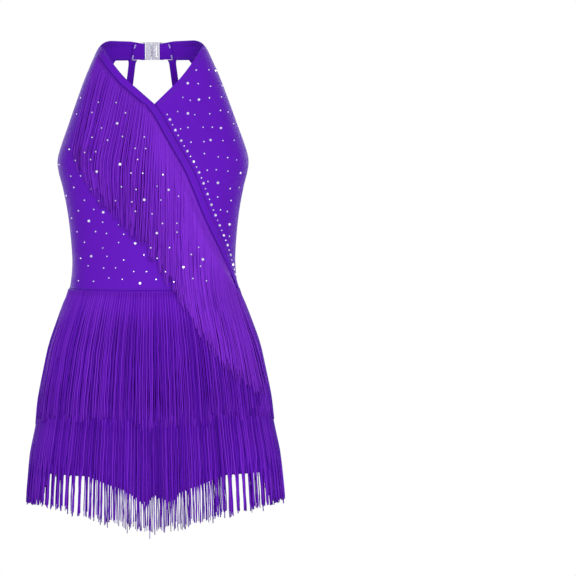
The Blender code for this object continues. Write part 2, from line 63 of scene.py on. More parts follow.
COLLAR_TOP = 11.0
COLLAR_LOW = -11.3
COLLAR_CORNER = 6.0
COLLAR_RISE = 2.0
COLLAR_END_TRIM = 1.75
COLLAR_BACK_RADIUS = 62.0
LOOP_RADIUS = 1.5
LOOP_LENGTH = 12.5
FOLD_DEPTH = 1.5
BAR_X = 11.5
WAIST = -284.0
WAIST_DIP = 22.5
SIDE_SEAM_TOP = -150.0
BACK_DIP = 50.7
NECK_POINT = -62.4
NECK_SHARE = 0.25  # share of a front panel's rows that lie above the neck point
FRONT_TOP = 6.5
BAND_WIDTH = 7.5
BAND_TOP = -1.5
BAND_OUT = 2.0
BAND_WALL = 1.0
TAPE_HEIGHT = 2.6
TAPE_GAP = 0.9
TAPE_LIFT = 1.5
SECTION_POWER = 0.85
SIDE_ANGLE = 89.98
LEAST_ANGLE = 2.0
SEAM = 0.3
WAIST_LAP = 0.1  # how far the bodice reaches below the line of the waist seam
SLANTED_SEAM = 0.48
LEG_GAP = 1.45
LEG_DEPTH = 0.78
LEG_START = 0.6
CROTCH_SHARE = 0.985
STRAP_FOOT_GAP = 0.5
INNER_STRAP_WIDTH = 8.0
OUTER_STRAP_WIDTH = 6.5
HEM_OUT = -0.95  # lift of the turned hems' inner faces
HEM_WALL = 0.7
HEAD_WALL = 0.9
COLLAR_HEM = 3.0
TOUCHING = 0.03  # half the gap between two quarters of the shorts

# The figure's level sections: half its width, its front and back, and the depth of its side line
Section = namedtuple("Section", "z half_width front back side")
FIGURE = [
    Section(21.0, 51.5, -42.0, 46.3, 2.0),
    Section(11.0, 57.0, -45.0, 48.5, 2.0),
    Section(4.0, 63.2, -47.0, 50.0, 2.6),
    Section(-9.5, 69.8, -51.0, 53.0, 4.0),
    Section(-31.0, 79.2, -56.0, 62.0, 1.0),
    Section(-60.0, 90.0, -65.0, 74.0, -5.0),
    Section(-89.0, 100.2, -74.0, 81.0, -8.0),
    Section(-118.0, 110.4, -81.0, 83.5, -7.0),
    Section(-132.0, 113.2, -83.0, 84.0, -3.5),
    Section(-147.0, 111.2, -83.5, 83.5, 0.0),
    Section(-161.0, 107.6, -82.0, 82.0, 0.0),
    Section(-190.0, 102.0, -77.5, 78.0, 0.0),
    Section(-218.0, 98.6, -74.0, 74.0, 0.0),
    Section(-247.0, 96.6, -72.0, 70.0, 0.0),
    Section(-262.0, 97.0, -71.5, 68.5, 0.0),
    Section(-276.0, 98.6, -72.0, 68.0, 0.0),
    Section(-285.5, 100.4, -73.0, 69.0, 0.0),
    Section(-300.0, 104.0, -75.0, 72.0, 0.0),
    Section(-324.0, 111.0, -77.5, 79.0, 0.0),
    Section(-352.0, 118.0, -80.0, 88.0, 0.0),
    Section(-381.0, 123.0, -82.0, 96.0, 0.0),
    Section(-417.0, 127.8, -83.0, 101.0, 0.0),
    Section(-450.0, 131.0, -83.0, 101.0, 0.0),
    Section(-504.0, 135.0, -81.0, 95.0, 0.0),
    Section(-535.0, 137.0, -79.0, 90.0, 0.0),
    Section(-592.0, 139.0, -78.0, 88.0, 0.0),
]

# x of the neckline on both sides
Neckline = namedtuple("Neckline", "z right left")
NECKLINE = [
    Neckline(6.5, -60.5, 60.5),
    Neckline(-9.5, -50.0, 50.0),
    Neckline(-33.0, -31.0, 31.5),
    Neckline(-48.0, -14.5, 16.5),
    Neckline(NECK_POINT, 1.5, 1.5),
]

# Angle of the slanting seam
Slant = namedtuple("Slant", "z angle")
SLANT = [
    Slant(NECK_POINT, 0.95),
    Slant(-76.8, 6.6),
    Slant(-105.8, 14.4),
    Slant(-126.5, 20.0),
    Slant(-161.6, 30.6),
    Slant(-188.5, 39.2),
    Slant(-212.9, 48.9),
    Slant(-236.4, 60.2),
    Slant(-256.8, 70.4),
    Slant(-272.0, 77.8),
    Slant(-290.0, 85.5),
]

# Where the bodice fringe's strands end, for roots at these heights on the slanting line
WrapStrand = namedtuple("WrapStrand", "root_z tip_x tip_z")
WRAP_STRANDS = [
    WrapStrand(-4.5, -99.0, -118.0),
    WrapStrand(-9.0, -91.0, -134.0),
    WrapStrand(-20.0, -80.0, -152.0),
    WrapStrand(-38.0, -63.0, -178.0),
    WrapStrand(-56.0, -36.0, -204.0),
    WrapStrand(-72.0, -14.0, -226.0),
    WrapStrand(-90.0, 4.0, -252.0),
    WrapStrand(-112.0, 22.0, -276.0),
    WrapStrand(-150.0, 47.0, -318.0),
    WrapStrand(-212.0, 84.0, -372.0),
    WrapStrand(-240.0, 108.0, -396.0),
    WrapStrand(-266.0, 136.0, -411.0),
]

# How far each fringe's inner face stands off the figure
Spread = namedtuple("Spread", "z upper wrap")
SPREAD = [
    Spread(-20.0, 1.5, 2.2),
    Spread(-60.0, 1.5, 2.5),
    Spread(-100.0, 1.5, 3.1),
    Spread(-147.0, 1.5, 3.4),
    Spread(-190.0, 1.5, 4.8),
    Spread(-218.0, 1.5, 5.8),
    Spread(-250.0, 1.5, 6.2),
    Spread(-274.0, 1.5, 6.0),
    Spread(-287.0, 1.5, 5.9),
    Spread(-300.0, 2.6, 6.2),
    Spread(-324.0, 4.0, 7.2),
    Spread(-352.0, 6.5, 9.4),
    Spread(-381.0, 8.0, 11.0),
    Spread(-417.0, 10.5, 13.5),
    Spread(-440.0, 11.8, 14.5),
    Spread(-482.0, 12.5, 15.5),
]
LOWER_SPREAD = 5.6
LOWER_UNDER = 2.6
LOWER_FLARED = 14.6
LOWER_FLARE_DROP = 30.0
FLARE_SLOPE = 0.03

# Ends of the skirt's two fringes, by the angle from the front centre to the back centre
Tier = namedtuple("Tier", "angle upper_tip lower_root lower_tip")
TIERS = [
    Tier(0.0, -443.0, -407.0, -568.5),
    Tier(15.0, -441.0, -396.0, -560.0),
    Tier(30.0, -438.0, -389.0, -552.0),
    Tier(50.0, -436.0, -382.0, -543.0),
    Tier(75.0, -436.0, -376.0, -538.0),
    Tier(90.0, -438.0, -374.0, -537.0),
    Tier(115.0, -446.5, -386.0, -547.0),
    Tier(135.0, -453.5, -398.0, -558.0),
    Tier(155.0, -461.0, -412.0, -572.0),
    Tier(180.0, -467.5, -423.0, -586.0),
]

# The shorts' hem, by the share of the way round the leg from its inside to the side seam
Hem = namedtuple("Hem", "share front back")
HEM = [
    Hem(0.0, -528.5, -528.5),
    Hem(0.1, -531.0, -533.5),
    Hem(0.22, -536.5, -538.0),
    Hem(0.34, -520.5, -532.0),
    Hem(0.45, -510.5, -525.0),
    Hem(0.55, -505.5, -516.0),
    Hem(0.7, -504.0, -508.5),
    Hem(0.85, -503.5, -505.5),
    Hem(1.0, -505.0, -505.0),
]

# Middle lines of the back straps
StrapLine = namedtuple("StrapLine", "z x")
INNER_STRAP = [
    StrapLine(-9.5, 23.5), StrapLine(-33.0, 26.5), StrapLine(-60.0, 30.0), StrapLine(-110.0, 37.5),
    StrapLine(-155.0, 44.5), StrapLine(-196.0, 50.3),
]
OUTER_STRAP = [
    StrapLine(-9.5, 47.5), StrapLine(-31.0, 57.0), StrapLine(-60.0, 67.5),
    StrapLine(-95.0, 78.5), StrapLine(-140.0, 88.5), StrapLine(-180.0, 92.0),
]

# Soft creases of the worn knit: centre, half length, half width, lean from level and height
Crease = namedtuple("Crease", "angle z length width lean height")
CREASES = [
    Crease(38.0, -92.0, 34.0, 5.0, -38.0, 0.5),
    Crease(22.0, -70.0, 22.0, 4.0, -55.0, -0.4),
    Crease(62.0, -128.0, 30.0, 6.0, 18.0, 0.5),
    Crease(70.0, -152.0, 26.0, 5.0, 24.0, -0.45),
    Crease(-66.0, -136.0, 30.0, 6.0, -20.0, 0.5),
    Crease(-72.0, -160.0, 24.0, 5.0, -26.0, -0.4),
    Crease(-30.0, -262.0, 46.0, 4.0, 3.0, 0.45),
    Crease(-62.0, -240.0, 30.0, 5.0, 8.0, -0.4),
    Crease(-8.0, -276.0, 40.0, 3.5, -2.0, -0.4),
    Crease(152.0, -240.0, 44.0, 6.0, 6.0, 0.5),
    Crease(-148.0, -252.0, 40.0, 5.0, -7.0, 0.45),
    Crease(176.0, -272.0, 52.0, 5.0, 2.0, -0.45),
    Crease(118.0, -216.0, 26.0, 5.0, 30.0, -0.4),
    Crease(-116.0, -222.0, 28.0, 5.0, -28.0, 0.4),
    Crease(104.0, -262.0, 24.0, 4.0, -14.0, 0.4),
]


def ease(share):
    share = min(1.0, max(0.0, share))
    return share * share * (3 - 2 * share)


def slope_at(rows, name, i):
    """Slope of a column at row i, from the rows on both sides."""
    low, high = max(i - 1, 0), min(i + 1, len(rows) - 1)
    return (getattr(rows[high], name) - getattr(rows[low], name)) / (rows[high][0] - rows[low][0])


def read(rows, name, at):
    """Smooth value of a named column at a place on the table's first column, which runs one way."""
    first, last = rows[0][0], rows[-1][0]
    at = min(max(at, min(first, last)), max(first, last))
    for i in range(len(rows) - 1):
        start, end = rows[i][0], rows[i + 1][0]
        if min(start, end) <= at <= max(start, end):
            break
    step = end - start
    t = (at - start) / step
    a, b = getattr(rows[i], name), getattr(rows[i + 1], name)
    m, n = slope_at(rows, name, i) * step, slope_at(rows, name, i + 1) * step
    return (
        (2 * t**3 - 3 * t**2 + 1) * a
        + (t**3 - 2 * t**2 + t) * m
        + (3 * t**2 - 2 * t**3) * b
        + (t**3 - t**2) * n
    )


@functools.lru_cache(maxsize=None)
def section_row(z):
    return tuple(read(FIGURE, name, z) for name in ("half_width", "front", "back", "side"))


def section(z):
    """Half width, front, back and side line at a height, between whole millimetres."""
    low = math.floor(z)
    share = z - low
    return [a + (b - a) * share for a, b in zip(section_row(low), section_row(low + 1))]


def figure_face(angle, z):
    """Point of the cloth's inner face: angle 0 is the front centre, 90 the wearer's left side."""
    turn = math.radians(angle)
    half_width, front, back, side = section(z)
    depth = front if math.cos(turn) >= 0 else back
    along = math.cos(turn)
    return Vector((half_width * math.sin(turn), side + (depth - side) * abs(along) ** SECTION_POWER, z))


def face_frame(angle, z):
    """The inner face's point, its level direction towards growing angles, and its normal."""
    step = 0.5
    along = figure_face(angle + step, z) - figure_face(angle - step, z)
    up = figure_face(angle, z + step) - figure_face(angle, z - step)
    return figure_face(angle, z), along.normalized(), along.cross(up).normalized()


def figure(angle, z, out=0.0):
    """The point of the inner face moved out along the cloth's normal."""
    point, _, normal = face_frame(angle, z)
    return point + normal * out


def angle_at(x, z):
    """Angle on the front of the figure for an x at a height."""
    return math.degrees(math.asin(min(1.0, max(-1.0, x / section(z)[0]))))


def waist(angle):
    """Height of the waist seam, which dips towards the centre of the back."""
    turn = math.radians(angle)
    return WAIST - (WAIST_DIP * math.cos(turn) ** 2 if math.cos(turn) < 0 else 0.0)


def back_top(angle):
    """Height of the open back's edge."""
    return SIDE_SEAM_TOP + BACK_DIP * math.cos(math.radians(angle))


def edge_angle(z, name="right"):
    """Angle of a front panel's free edge: the neckline, then the slanting seam."""
    if z > NECK_POINT:
        return angle_at(read(NECKLINE, name, z), z)
    return read(SLANT, "angle", z)


def beside_edge(z, distance, name="right"):
    """Angle of a line beside a front edge, this far from it on the cloth to the wearer's right."""
    edge, step = edge_angle(z, name), 1.0
    degree = (figure_face(edge + step / 2, z) - figure_face(edge - step / 2, z)).length
    slope = degree * (edge_angle(z + step, name) - edge_angle(z - step, name)) / (2 * step)
    return edge - distance * math.sqrt(1 + slope**2) / degree


def front_row(down, top=FRONT_TOP):
    """Height at a share of the way down a front panel, with a row at the neck point."""
    if down < NECK_SHARE:
        return top + (NECK_POINT - top) * down / NECK_SHARE
    return NECK_POINT + (WAIST - WAIST_LAP - NECK_POINT) * (down - NECK_SHARE) / (1 - NECK_SHARE)


def crease_relief(angle, z):
    """Height of the soft creases at a place of the cloth."""
    total = 0.0
    for crease in CREASES:
        turn = (angle - crease.angle + 180) % 360 - 180
        if abs(turn) > 60 or abs(z - crease.z) > 70:
            continue
        lean = math.radians(crease.lean)
        x, y = math.radians(turn) * section(z)[0], z - crease.z
        along, across = x * math.cos(lean) + y * math.sin(lean), y * math.cos(lean) - x * math.sin(lean)
        total += crease.height * math.exp(-((along / crease.length) ** 2) - (across / crease.width) ** 2)
    return total


# ---------------------------------------------------------------------------------------------
# Materials
# ---------------------------------------------------------------------------------------------


def new_group(name, inputs, outputs):
    """A shader node group with named float or colour sockets."""
    group = bpy.data.node_groups.new(name, "ShaderNodeTree")
    for socket, kind, value in inputs:
        made = group.interface.new_socket(socket, in_out="INPUT", socket_type=kind)
        if value is not None:
            made.default_value = value
    for socket, kind in outputs:
        group.interface.new_socket(socket, in_out="OUTPUT", socket_type=kind)
    return group, group.nodes.new("NodeGroupInput"), group.nodes.new("NodeGroupOutput")


def set_sockets(node, values):
    for name, value in values.items():
        node.inputs[name].default_value = value


def add(tree, kind, values=None, **settings):
    """A node with its properties and, by name or number, its socket values."""
    node = tree.nodes.new(kind)
    for name, value in settings.items():
        setattr(node, name, value)
    set_sockets(node, values or {})
    return node


def join(start, outlet, end, inlet):
    """Links a node's output to another node's input."""
    start.id_data.links.new(start.outputs[outlet], end.inputs[inlet])


def ramp(tree, stops):
    """A colour ramp from (position, colour) pairs."""
    node = tree.nodes.new("ShaderNodeValToRGB")
    elements = node.color_ramp.elements
    while len(elements) < len(stops):
        elements.new(0.5)
    for element, (position, colour) in zip(elements, stops):
        element.position = position
        element.color = (*colour, 1.0)
    return node


def shade_group():
    """Slow variation of a dyed cloth's colour over the garment."""
    name = "Dye Variation"
    if name in bpy.data.node_groups:
        return bpy.data.node_groups[name]
    inputs = [
        ("Colour", "NodeSocketColor", None),
        ("Amount", "NodeSocketFloat", 0.2),
        ("Scale", "NodeSocketFloat", 12.0),
    ]
    outputs = [("Colour", "NodeSocketColor"), ("Roughness Shift", "NodeSocketFloat")]
    group, enter, leave = new_group(name, inputs, outputs)
    place = add(group, "ShaderNodeTexCoord")
    cloud = add(group, "ShaderNodeTexNoise", {"Detail": 3.0, "Roughness": 0.55})
    level = add(group, "ShaderNodeMapRange", {"From Min": 0.3, "From Max": 0.7, "To Min": -1.0})
    scaled = add(group, "ShaderNodeMath", operation="MULTIPLY")
    value = add(group, "ShaderNodeMath", {1: 1.0}, operation="ADD")
    tint = add(group, "ShaderNodeHueSaturation")
    join(place, "Object", cloud, "Vector")
    join(enter, "Scale", cloud, "Scale")
    join(cloud, "Fac", level, "Value")
    join(level, "Result", scaled, 0)
    join(enter, "Amount", scaled, 1)
    join(scaled, "Value", value, 0)
    join(value, "Value", tint, "Value")
    join(enter, "Colour", tint, "Color")
    join(tint, "Color", leave, "Colour")
    join(scaled, "Value", leave, "Roughness Shift")
    return group


def wale_group():
    """Fine columns of a warp knit, from the piece's own UV map in metres, as a height."""
    name = "Knit Wales"
    if name in bpy.data.node_groups:
        return bpy.data.node_groups[name]
    inputs = [("Pitch", "NodeSocketFloat", 0.5), ("Softness", "NodeSocketFloat", 0.4)]
    group, enter, leave = new_group(name, inputs, [("Height", "NodeSocketFloat")])
    place = add(group, "ShaderNodeUVMap", uv_map="cut")
    parts = add(group, "ShaderNodeSeparateXYZ")
    mixed = add(group, "ShaderNodeMath", operation="MULTIPLY_ADD")
    join(place, "UV", parts, "Vector")
    for axis, inlet in (("X", 2), ("Y", 0)):
        turns = add(group, "ShaderNodeMath", {1: 2 * math.pi / MM}, operation="MULTIPLY")
        pitch = add(group, "ShaderNodeMath", operation="DIVIDE")
        wave = add(group, "ShaderNodeMath", operation="SINE")
        join(parts, axis, turns, 0)
        join(turns, "Value", pitch, 0)
        join(enter, "Pitch", pitch, 1)
        join(pitch, "Value", wave, 0)
        join(wave, "Value", mixed, inlet)
    join(enter, "Softness", mixed, 1)
    join(mixed, "Value", leave, "Height")
    return group


def use_group(tree, group, values):
    """A node that stands for a group, with its socket values."""
    return add(tree, "ShaderNodeGroup", values, node_tree=group)


def new_material(name):
    """A material with nothing but its Principled shader, and that shader."""
    made = bpy.data.materials.new(name)
    made.use_nodes = True
    return made, made.node_tree, made.node_tree.nodes["Principled BSDF"]


def dyed(name, colour, amount, scale, values):
    """A material in one dye that varies a little, with the shader's other values."""
    made, tree, shader = new_material(name)
    shade = use_group(tree, shade_group(), {"Colour": (*colour, 1.0), "Amount": amount, "Scale": scale})
    join(shade, "Colour", shader, "Base Color")
    set_sockets(shader, values)
    return made, tree, shader, shade


SHEEN = {"Sheen Weight": 0.02, "Sheen Tint": (0.4, 0.12, 1.0, 1.0)}  # the same on knit and yarn


def knit_material(colours, name="purple_knit", painted_shade_factor=1.0):
    """Smooth stretch knit: soft gloss and fine wales. A shade factor below 1 gives a darker copy of it,
    as painted shade.
    """
    if name in bpy.data.materials:
        return bpy.data.materials[name]
    colour = [channel * painted_shade_factor for channel in colours.knit]
    values = {**SHEEN, "Specular IOR Level": 0.03, "Sheen Roughness": 0.3}
    made, tree, shader, shade = dyed(name, colour, 0.06, 9.0, values)
    wales = use_group(tree, wale_group(), {"Pitch": 0.55, "Softness": 0.5})
    bump = add(tree, "ShaderNodeBump", {"Strength": 0.25, "Distance": 0.0001})
    rough = add(tree, "ShaderNodeMath", {1: 0.6, 2: 0.5}, operation="MULTIPLY_ADD")
    join(shade, "Roughness Shift", rough, 0)
    join(rough, "Value", shader, "Roughness")
    join(wales, "Height", bump, "Height")
    join(bump, "Normal", shader, "Normal")
    return made


def yarn_material(colours):
    """Twisted fringe yarn: every strand has its own tone, which also carries painted shade and
    highlights, and a twist runs along it.
    """
    name = "fringe_yarn"
    if name in bpy.data.materials:
        return bpy.data.materials[name]
    values = {**SHEEN, "Roughness": 0.55, "Specular IOR Level": 0.05}
    made, tree, shader, shade = dyed(name, colours.fringe, 0.08, 14.0, values)
    # The strands' tone, painted shade and painted highlights included, picks their colour from the ramp.
    tone = add(tree, "ShaderNodeAttribute", attribute_name="tone")
    stops = [(0.0, colours.fringe_dark), (0.45, colours.fringe), (1.0, colours.fringe_light)]
    depth = ramp(tree, stops)
    place = add(tree, "ShaderNodeUVMap", uv_map="cut")
    waves = {"Scale": 260.0, "Distortion": 1.0}
    twist = add(tree, "ShaderNodeTexWave", waves, wave_type="BANDS", bands_direction="DIAGONAL")
    bump = add(tree, "ShaderNodeBump", {"Strength": 0.5, "Distance": 0.0002})
    join(tone, "Fac", depth, "Fac")
    join(depth, "Color", shade, "Colour")
    join(place, "UV", twist, "Vector")
    join(twist, "Fac", bump, "Height")
    join(bump, "Normal", shader, "Normal")
    return made


def stone_material(colours):
    values = {"Metallic": 0.45, "Roughness": 0.16, "Coat Weight": 0.6, "Coat Roughness": 0.03}
    return dyed("crystal_stone", colours.stone, 0.3, 70.0, values)[0]


def thread_material(name, colour, roughness):
    return dyed(name, colour, 0.12, 120.0, {"Roughness": roughness, "Sheen Weight": 0.1})[0]


def clear_material(colours):
    """Milky clear plastic with a few duller places."""
    made, tree, shader = new_material("clear_plastic")
    colour = (*colours.clasp, 1.0)
    set_sockets(shader, {"Base Color": colour, "Transmission Weight": 0.55, "IOR": 1.46})
    cloud = add(tree, "ShaderNodeTexNoise", {"Scale": 180.0, "Detail": 2.0})
    place = add(tree, "ShaderNodeTexCoord")
    rough = add(tree, "ShaderNodeMapRange", {"To Min": 0.1, "To Max": 0.28})
    join(place, "Object", cloud, "Vector")
    join(cloud, "Fac", rough, "Value")
    join(rough, "Result", shader, "Roughness")
    return made


# ---------------------------------------------------------------------------------------------
# Making pieces
# ---------------------------------------------------------------------------------------------


def mesh_data(name, mesh):
    """Mesh data from a bmesh, which is freed."""
    data = bpy.data.meshes.new(name)
    mesh.to_mesh(data)
    mesh.free()
    return data


def new_object(name, data):
    """An object in the scene with this data."""
    made = bpy.data.objects.new(name, data)
    bpy.context.scene.collection.objects.link(made)
    return made


def finish_piece(name, mesh, finish, replaced=()):
    """Turns a bmesh into an object that rides on the frame and stands for the named nodes."""
    data = mesh_data(name, mesh)
    data.shade_smooth()
    data.materials.append(finish)
    made = new_object(name, data)
    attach(made, BODY)
    if replaced:
        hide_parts(*replaced)
    return made


def thicken(piece, wall, offset=1.0):
    """Gives a piece its wall, in millimetres."""
    step = piece.modifiers.new("wall", "SOLIDIFY")
    step.thickness = wall * MM
    step.offset = offset


def cloth(name, columns, rows, place, flat, finish, wall, replaced=()):
    """Knit cloth whose inner face has its point at (across, down) set by place, in millimetres.

    Its UV map is the flat cut, whose greatest width and length flat gives in millimetres.
    """
    mesh = bmesh.new()
    layer = mesh.loops.layers.uv.new("cut")
    bmesh.ops.create_grid(mesh, x_segments=columns, y_segments=rows, size=0.5)
    spots = {vertex: (vertex.co.x + 0.5, 0.5 - vertex.co.y) for vertex in mesh.verts}
    for face in mesh.faces:
        for loop in face.loops:
            across, down = spots[loop.vert]
            loop[layer].uv = (across * flat[0] * MM, (1 - down) * flat[1] * MM)
    for vertex, (across, down) in spots.items():
        vertex.co = place(across, down) * MM
    piece = finish_piece(name, mesh, finish, replaced)
    thicken(piece, wall)
    piece["flat"] = flat


SIDES = ((1, "left"), (-1, "right"))


def build_bodice(sizes, colours):
    """Both front panels, the low back, and the hems turned inside them."""
    knit = knit_material(colours)
    # Painted shade: the turned hems inside the garment get a darker copy of the same knit.
    inside_painted_shade = knit_material(colours, "purple_knit_hem", painted_shade_factor=0.85)
    hem = sizes.hem_width / MM
    wall = sizes.wall / MM

    def right(across, down):
        z = front_row(down)
        end = max(edge_angle(z), LEAST_ANGLE - SIDE_ANGLE)
        angle = -SIDE_ANGLE + across * (end + SIDE_ANGLE)
        return figure(angle, z, crease_relief(angle, z))

    def left(across, down):
        z = front_row(down)
        start = edge_angle(z, "left") + math.degrees(SLANTED_SEAM / section(z)[0])
        start = min(start, SIDE_ANGLE - LEAST_ANGLE)
        angle = start + across * (SIDE_ANGLE - start)
        return figure(angle, z, crease_relief(angle, z))

    def back(across, down):
        angle = 180 + (across - 0.5) * 2 * SIDE_ANGLE
        top = back_top(angle)
        z = top + (waist(angle) - WAIST_LAP - top) * down
        return figure(angle, z, crease_relief(angle, z))

    cloth("bodice_front_right", 72, 96, right, (265, 305), knit, wall, ["front_right_panel"])
    cloth("bodice_front_left", 44, 96, left, (120, 300), knit, wall, ["front_left_panel"])
    cloth("bodice_back", 96, 48, back, (316, 135), knit, wall, ["back_panel"])

    def neck_hem(side):
        edge = "left" if side > 0 else "right"

        def place(across, down):
            z = FRONT_TOP - 2 + (NECK_POINT + 3 - FRONT_TOP + 2) * down
            spot = across if side > 0 else 1 - across
            return figure(beside_edge(z, -side * (0.5 + hem * spot), edge), z, HEM_OUT)

        return place

    def arm_hem(side):
        def place(across, down):
            z = FRONT_TOP - 3 + (SIDE_SEAM_TOP + 2 - FRONT_TOP + 3) * down
            spot = 1 - across if side > 0 else across
            degree = (figure_face(90, z) - figure_face(89, z)).length
            return figure(side * (SIDE_ANGLE - 0.4 - hem * spot / degree), z, HEM_OUT)

        return place

    def back_hem(across, down):
        angle = 180 + (across - 0.5) * 2 * (SIDE_ANGLE - 1)
        return figure(angle, back_top(angle) - 0.4 - hem * down, HEM_OUT)

    for side, word in SIDES:
        cloth(f"neck_hem_{word}", 4, 30, neck_hem(side), (6, 119), inside_painted_shade, HEM_WALL)
        cloth(f"arm_hem_{word}", 3, 50, arm_hem(side), (5, 162), inside_painted_shade, HEM_WALL)
    cloth("back_hem", 96, 3, back_hem, (308, 6.3), inside_painted_shade, HEM_WALL)

    def band(across, down):
        z = front_row(down, BAND_TOP)
        end = edge_angle(z)
        start = min(max(beside_edge(z, BAND_WIDTH), -SIDE_ANGLE), end - LEAST_ANGLE)
        crown = 0.5 * math.sin(math.pi * across) - 0.25 * math.exp(-(((across - 0.83) / 0.05) ** 2))
        return figure(start + across * (end - start), z, BAND_OUT + crown - 0.2)

    cloth("wrap_band_bound", 12, 112, band, (11, 361), knit, BAND_WALL, ["wrap_band"])


def build_shorts(sizes, colours):
    """The four quarters of the shorts."""
    knit = knit_material(colours)
    for side, word in SIDES:
        for half in ("front", "back"):
            facing = -1 if half == "front" else 1

            def place(across, down, side=side, half=half, facing=facing):
                share = across if (side > 0) == (half == "front") else 1 - across
                parting = min(1.0, max(0.0, (down - LEG_START) / (CROTCH_SHARE - LEG_START))) ** 5
                angle = 90 * share if half == "front" else 180 - 90 * share
                top = waist(angle) - SEAM / 2
                z = top + (read(HEM, half, share) - top) * down
                whole = figure_face(angle, z)
                depth = section(z)[1 if half == "front" else 2]
                leg = Vector((
                    section(z)[0] * (1 - math.cos(math.pi * share)) / 2,
                    LEG_DEPTH * depth * abs(math.sin(math.pi * share)) ** SECTION_POWER,
                    z,
                ))
                point = whole.lerp(leg, parting)
                point.x = (point.x + (TOUCHING + LEG_GAP * math.sqrt(parting)) * (1 - share)) * side
                point.y = facing * max(facing * point.y, TOUCHING)
                return point

            name = f"shorts_{half}_{word}"
            flat = (215, 293) if half == "front" else (227, 289)
            cloth(f"{name}_leg", 30, 56, place, flat, knit, sizes.wall / MM, [name])


def build_collar(sizes, colours):
    """The collar's two halves, each looped round a bar of the clasp."""
    knit = knit_material(colours)
    arc, loop, fold = 45, 14, 12
    columns = arc + loop + fold
    height, middle = COLLAR_TOP - COLLAR_LOW, (COLLAR_TOP + COLLAR_LOW) / 2
    for side, word in SIDES:

        def place(across, down, side=side):
            column = round((across if side > 0 else 1 - across) * columns)
            trim = 1 - 2 * COLLAR_END_TRIM / height * ease((column * 9 / arc - 7) / 2)
            level = COLLAR_TOP - height * down
            level += COLLAR_RISE * (1 - down) * max(0.0, 1 - column / arc)
            level -= COLLAR_CORNER * (1 - down) * max(0.0, 1 - column * 2.25 / arc) ** 2
            z = middle + (level - middle) * trim
            angle = end = 180 - angle_at(BAR_X, z)
            depth, along = 0.0, 0.0
            if column <= arc:
                angle = 180 - SIDE_ANGLE + (end + SIDE_ANGLE - 180) * column / arc
                depth = collar_relief(down * height, column / arc)
            elif column <= arc + loop:
                turn = math.pi * (column - arc) / loop
                along, depth = -LOOP_RADIUS * math.sin(turn), LOOP_RADIUS * (1 - math.cos(turn))
            else:
                rest = (column - arc - loop) / fold
                angle = end - math.degrees(LOOP_LENGTH * rest / COLLAR_BACK_RADIUS)
                depth = 2 * LOOP_RADIUS + (FOLD_DEPTH - 2 * LOOP_RADIUS) * ease(rest * 3)
            point = figure(angle, z, -depth) + Vector((along, 0, 0))
            return Vector((point.x * side, point.y, point.z))

        name = f"collar_{word}"
        cloth(f"{name}_band", columns, 28, place, (104, 26), knit, sizes.wall / MM, [name])


def collar_relief(down, share):
    """How far the collar's face sinks: the edges of its two turned hems, and folds at the bar."""
    height = COLLAR_TOP - COLLAR_LOW
    sunk = 0.5 * math.exp(-(((down - COLLAR_HEM) / 0.7) ** 2))
    sunk += 0.5 * math.exp(-(((down - height + COLLAR_HEM) / 0.7) ** 2))
    folds = math.sin(down * 2.1 + 0.8) * ease((share - 0.82) / 0.18)
    return sunk + 0.35 * folds * ease(down / 3) * ease((height - down) / 3)


def back_edge_at(x):
    """Height of the open back's edge at an x, found in a few steps from its middle height."""
    z = SIDE_SEAM_TOP - BACK_DIP / 2
    for _ in range(4):
        z = SIDE_SEAM_TOP - BACK_DIP * math.cos(math.radians(angle_at(x, z)))
    return z


def build_straps(sizes, colours):
    """Four flat tubular straps, domed a little across and wider where they are sewn on."""
    knit = knit_material(colours)
    straps = (
        ("inner", INNER_STRAP, INNER_STRAP_WIDTH, (11.5, 191)),
        ("outer", OUTER_STRAP, OUTER_STRAP_WIDTH, (12, 175)),
    )
    for which, line, width, flat in straps:
        for side, word in SIDES:

            def place(across, down, side=side, line=line, width=width):
                top = COLLAR_LOW + 0.02
                beside = (0.5 - across) * width * side
                low = back_edge_at(line[-1].x + beside) + STRAP_FOOT_GAP - 0.2
                z = top + (low - top) * down
                beside *= 1 + 0.35 * math.exp((z - top) / 1.6) + 0.35 * math.exp((low - z) / 1.6)
                angle = 180 - angle_at(read(line, "x", z) + beside, z)
                point = figure(angle, z, 0.35 * math.cos(math.pi * (across - 0.5)))
                return Vector((point.x * side, point.y, z))

            name = f"strap_{which}_{word}"
            cloth(f"{name}_tube", 6, 72, place, flat, knit, sizes.wall / MM, [name])


# ---------------------------------------------------------------------------------------------
# Fringe
# ---------------------------------------------------------------------------------------------

# A place on a strand: its middle, the level direction and the normal there, and its looks, whose tone
# also carries painted shade and highlights
Node = namedtuple("Node", "point along out twist tone width")
STRAND_WALL = 0.8
RIDGE = 0.36  # height of a strand's middle over its edges
UV_STRAND = 1.6
UV_STRAND_PITCH = 0.0007
UV_STRAND_LENGTH = 0.16
SKIRT_ROWS = 16  # along a strand
BODICE_ROWS = 22
HEAD_OUT = 1.9  # lift of the strands' middles at the skirt's heads
ROOT_CURVE = 25.0  # length over which a strand swings out from its head
TIP_LEAN = 1.4  # how far the upper fringe's tips lean in
TIP_LEAN_LENGTH = 34.0
LOWER_FLARE_LENGTH = 52.0
# By fringe: how much further out every second strand lies, the most that single tips end below
# and above their line, and the length over which strands come to sway freely
LAYER_STEP = {"upper": 1.25, "lower": 1.1, "bodice": 0.9}
RAGGED = {"upper": (-7, 9), "lower": (-3.5, 6), "bodice": (-9, 12)}
SWAY_START = {"upper": 120, "lower": 130, "bodice": 110}
KINK = 0.55  # sideways kinks of the crimped yarn
KINK_START = 50.0  # length over which they start below the head
LONG_FROM = 58.0  # degrees from a centre: from here to the sides all lower strands are long
LOCK_FROM = 20.0  # degrees from a centre: from here to the sides the locks draw together
LOCK_SIZES = (3, 4, 5, 5, 6)
LOCK_LENGTH = 26.0


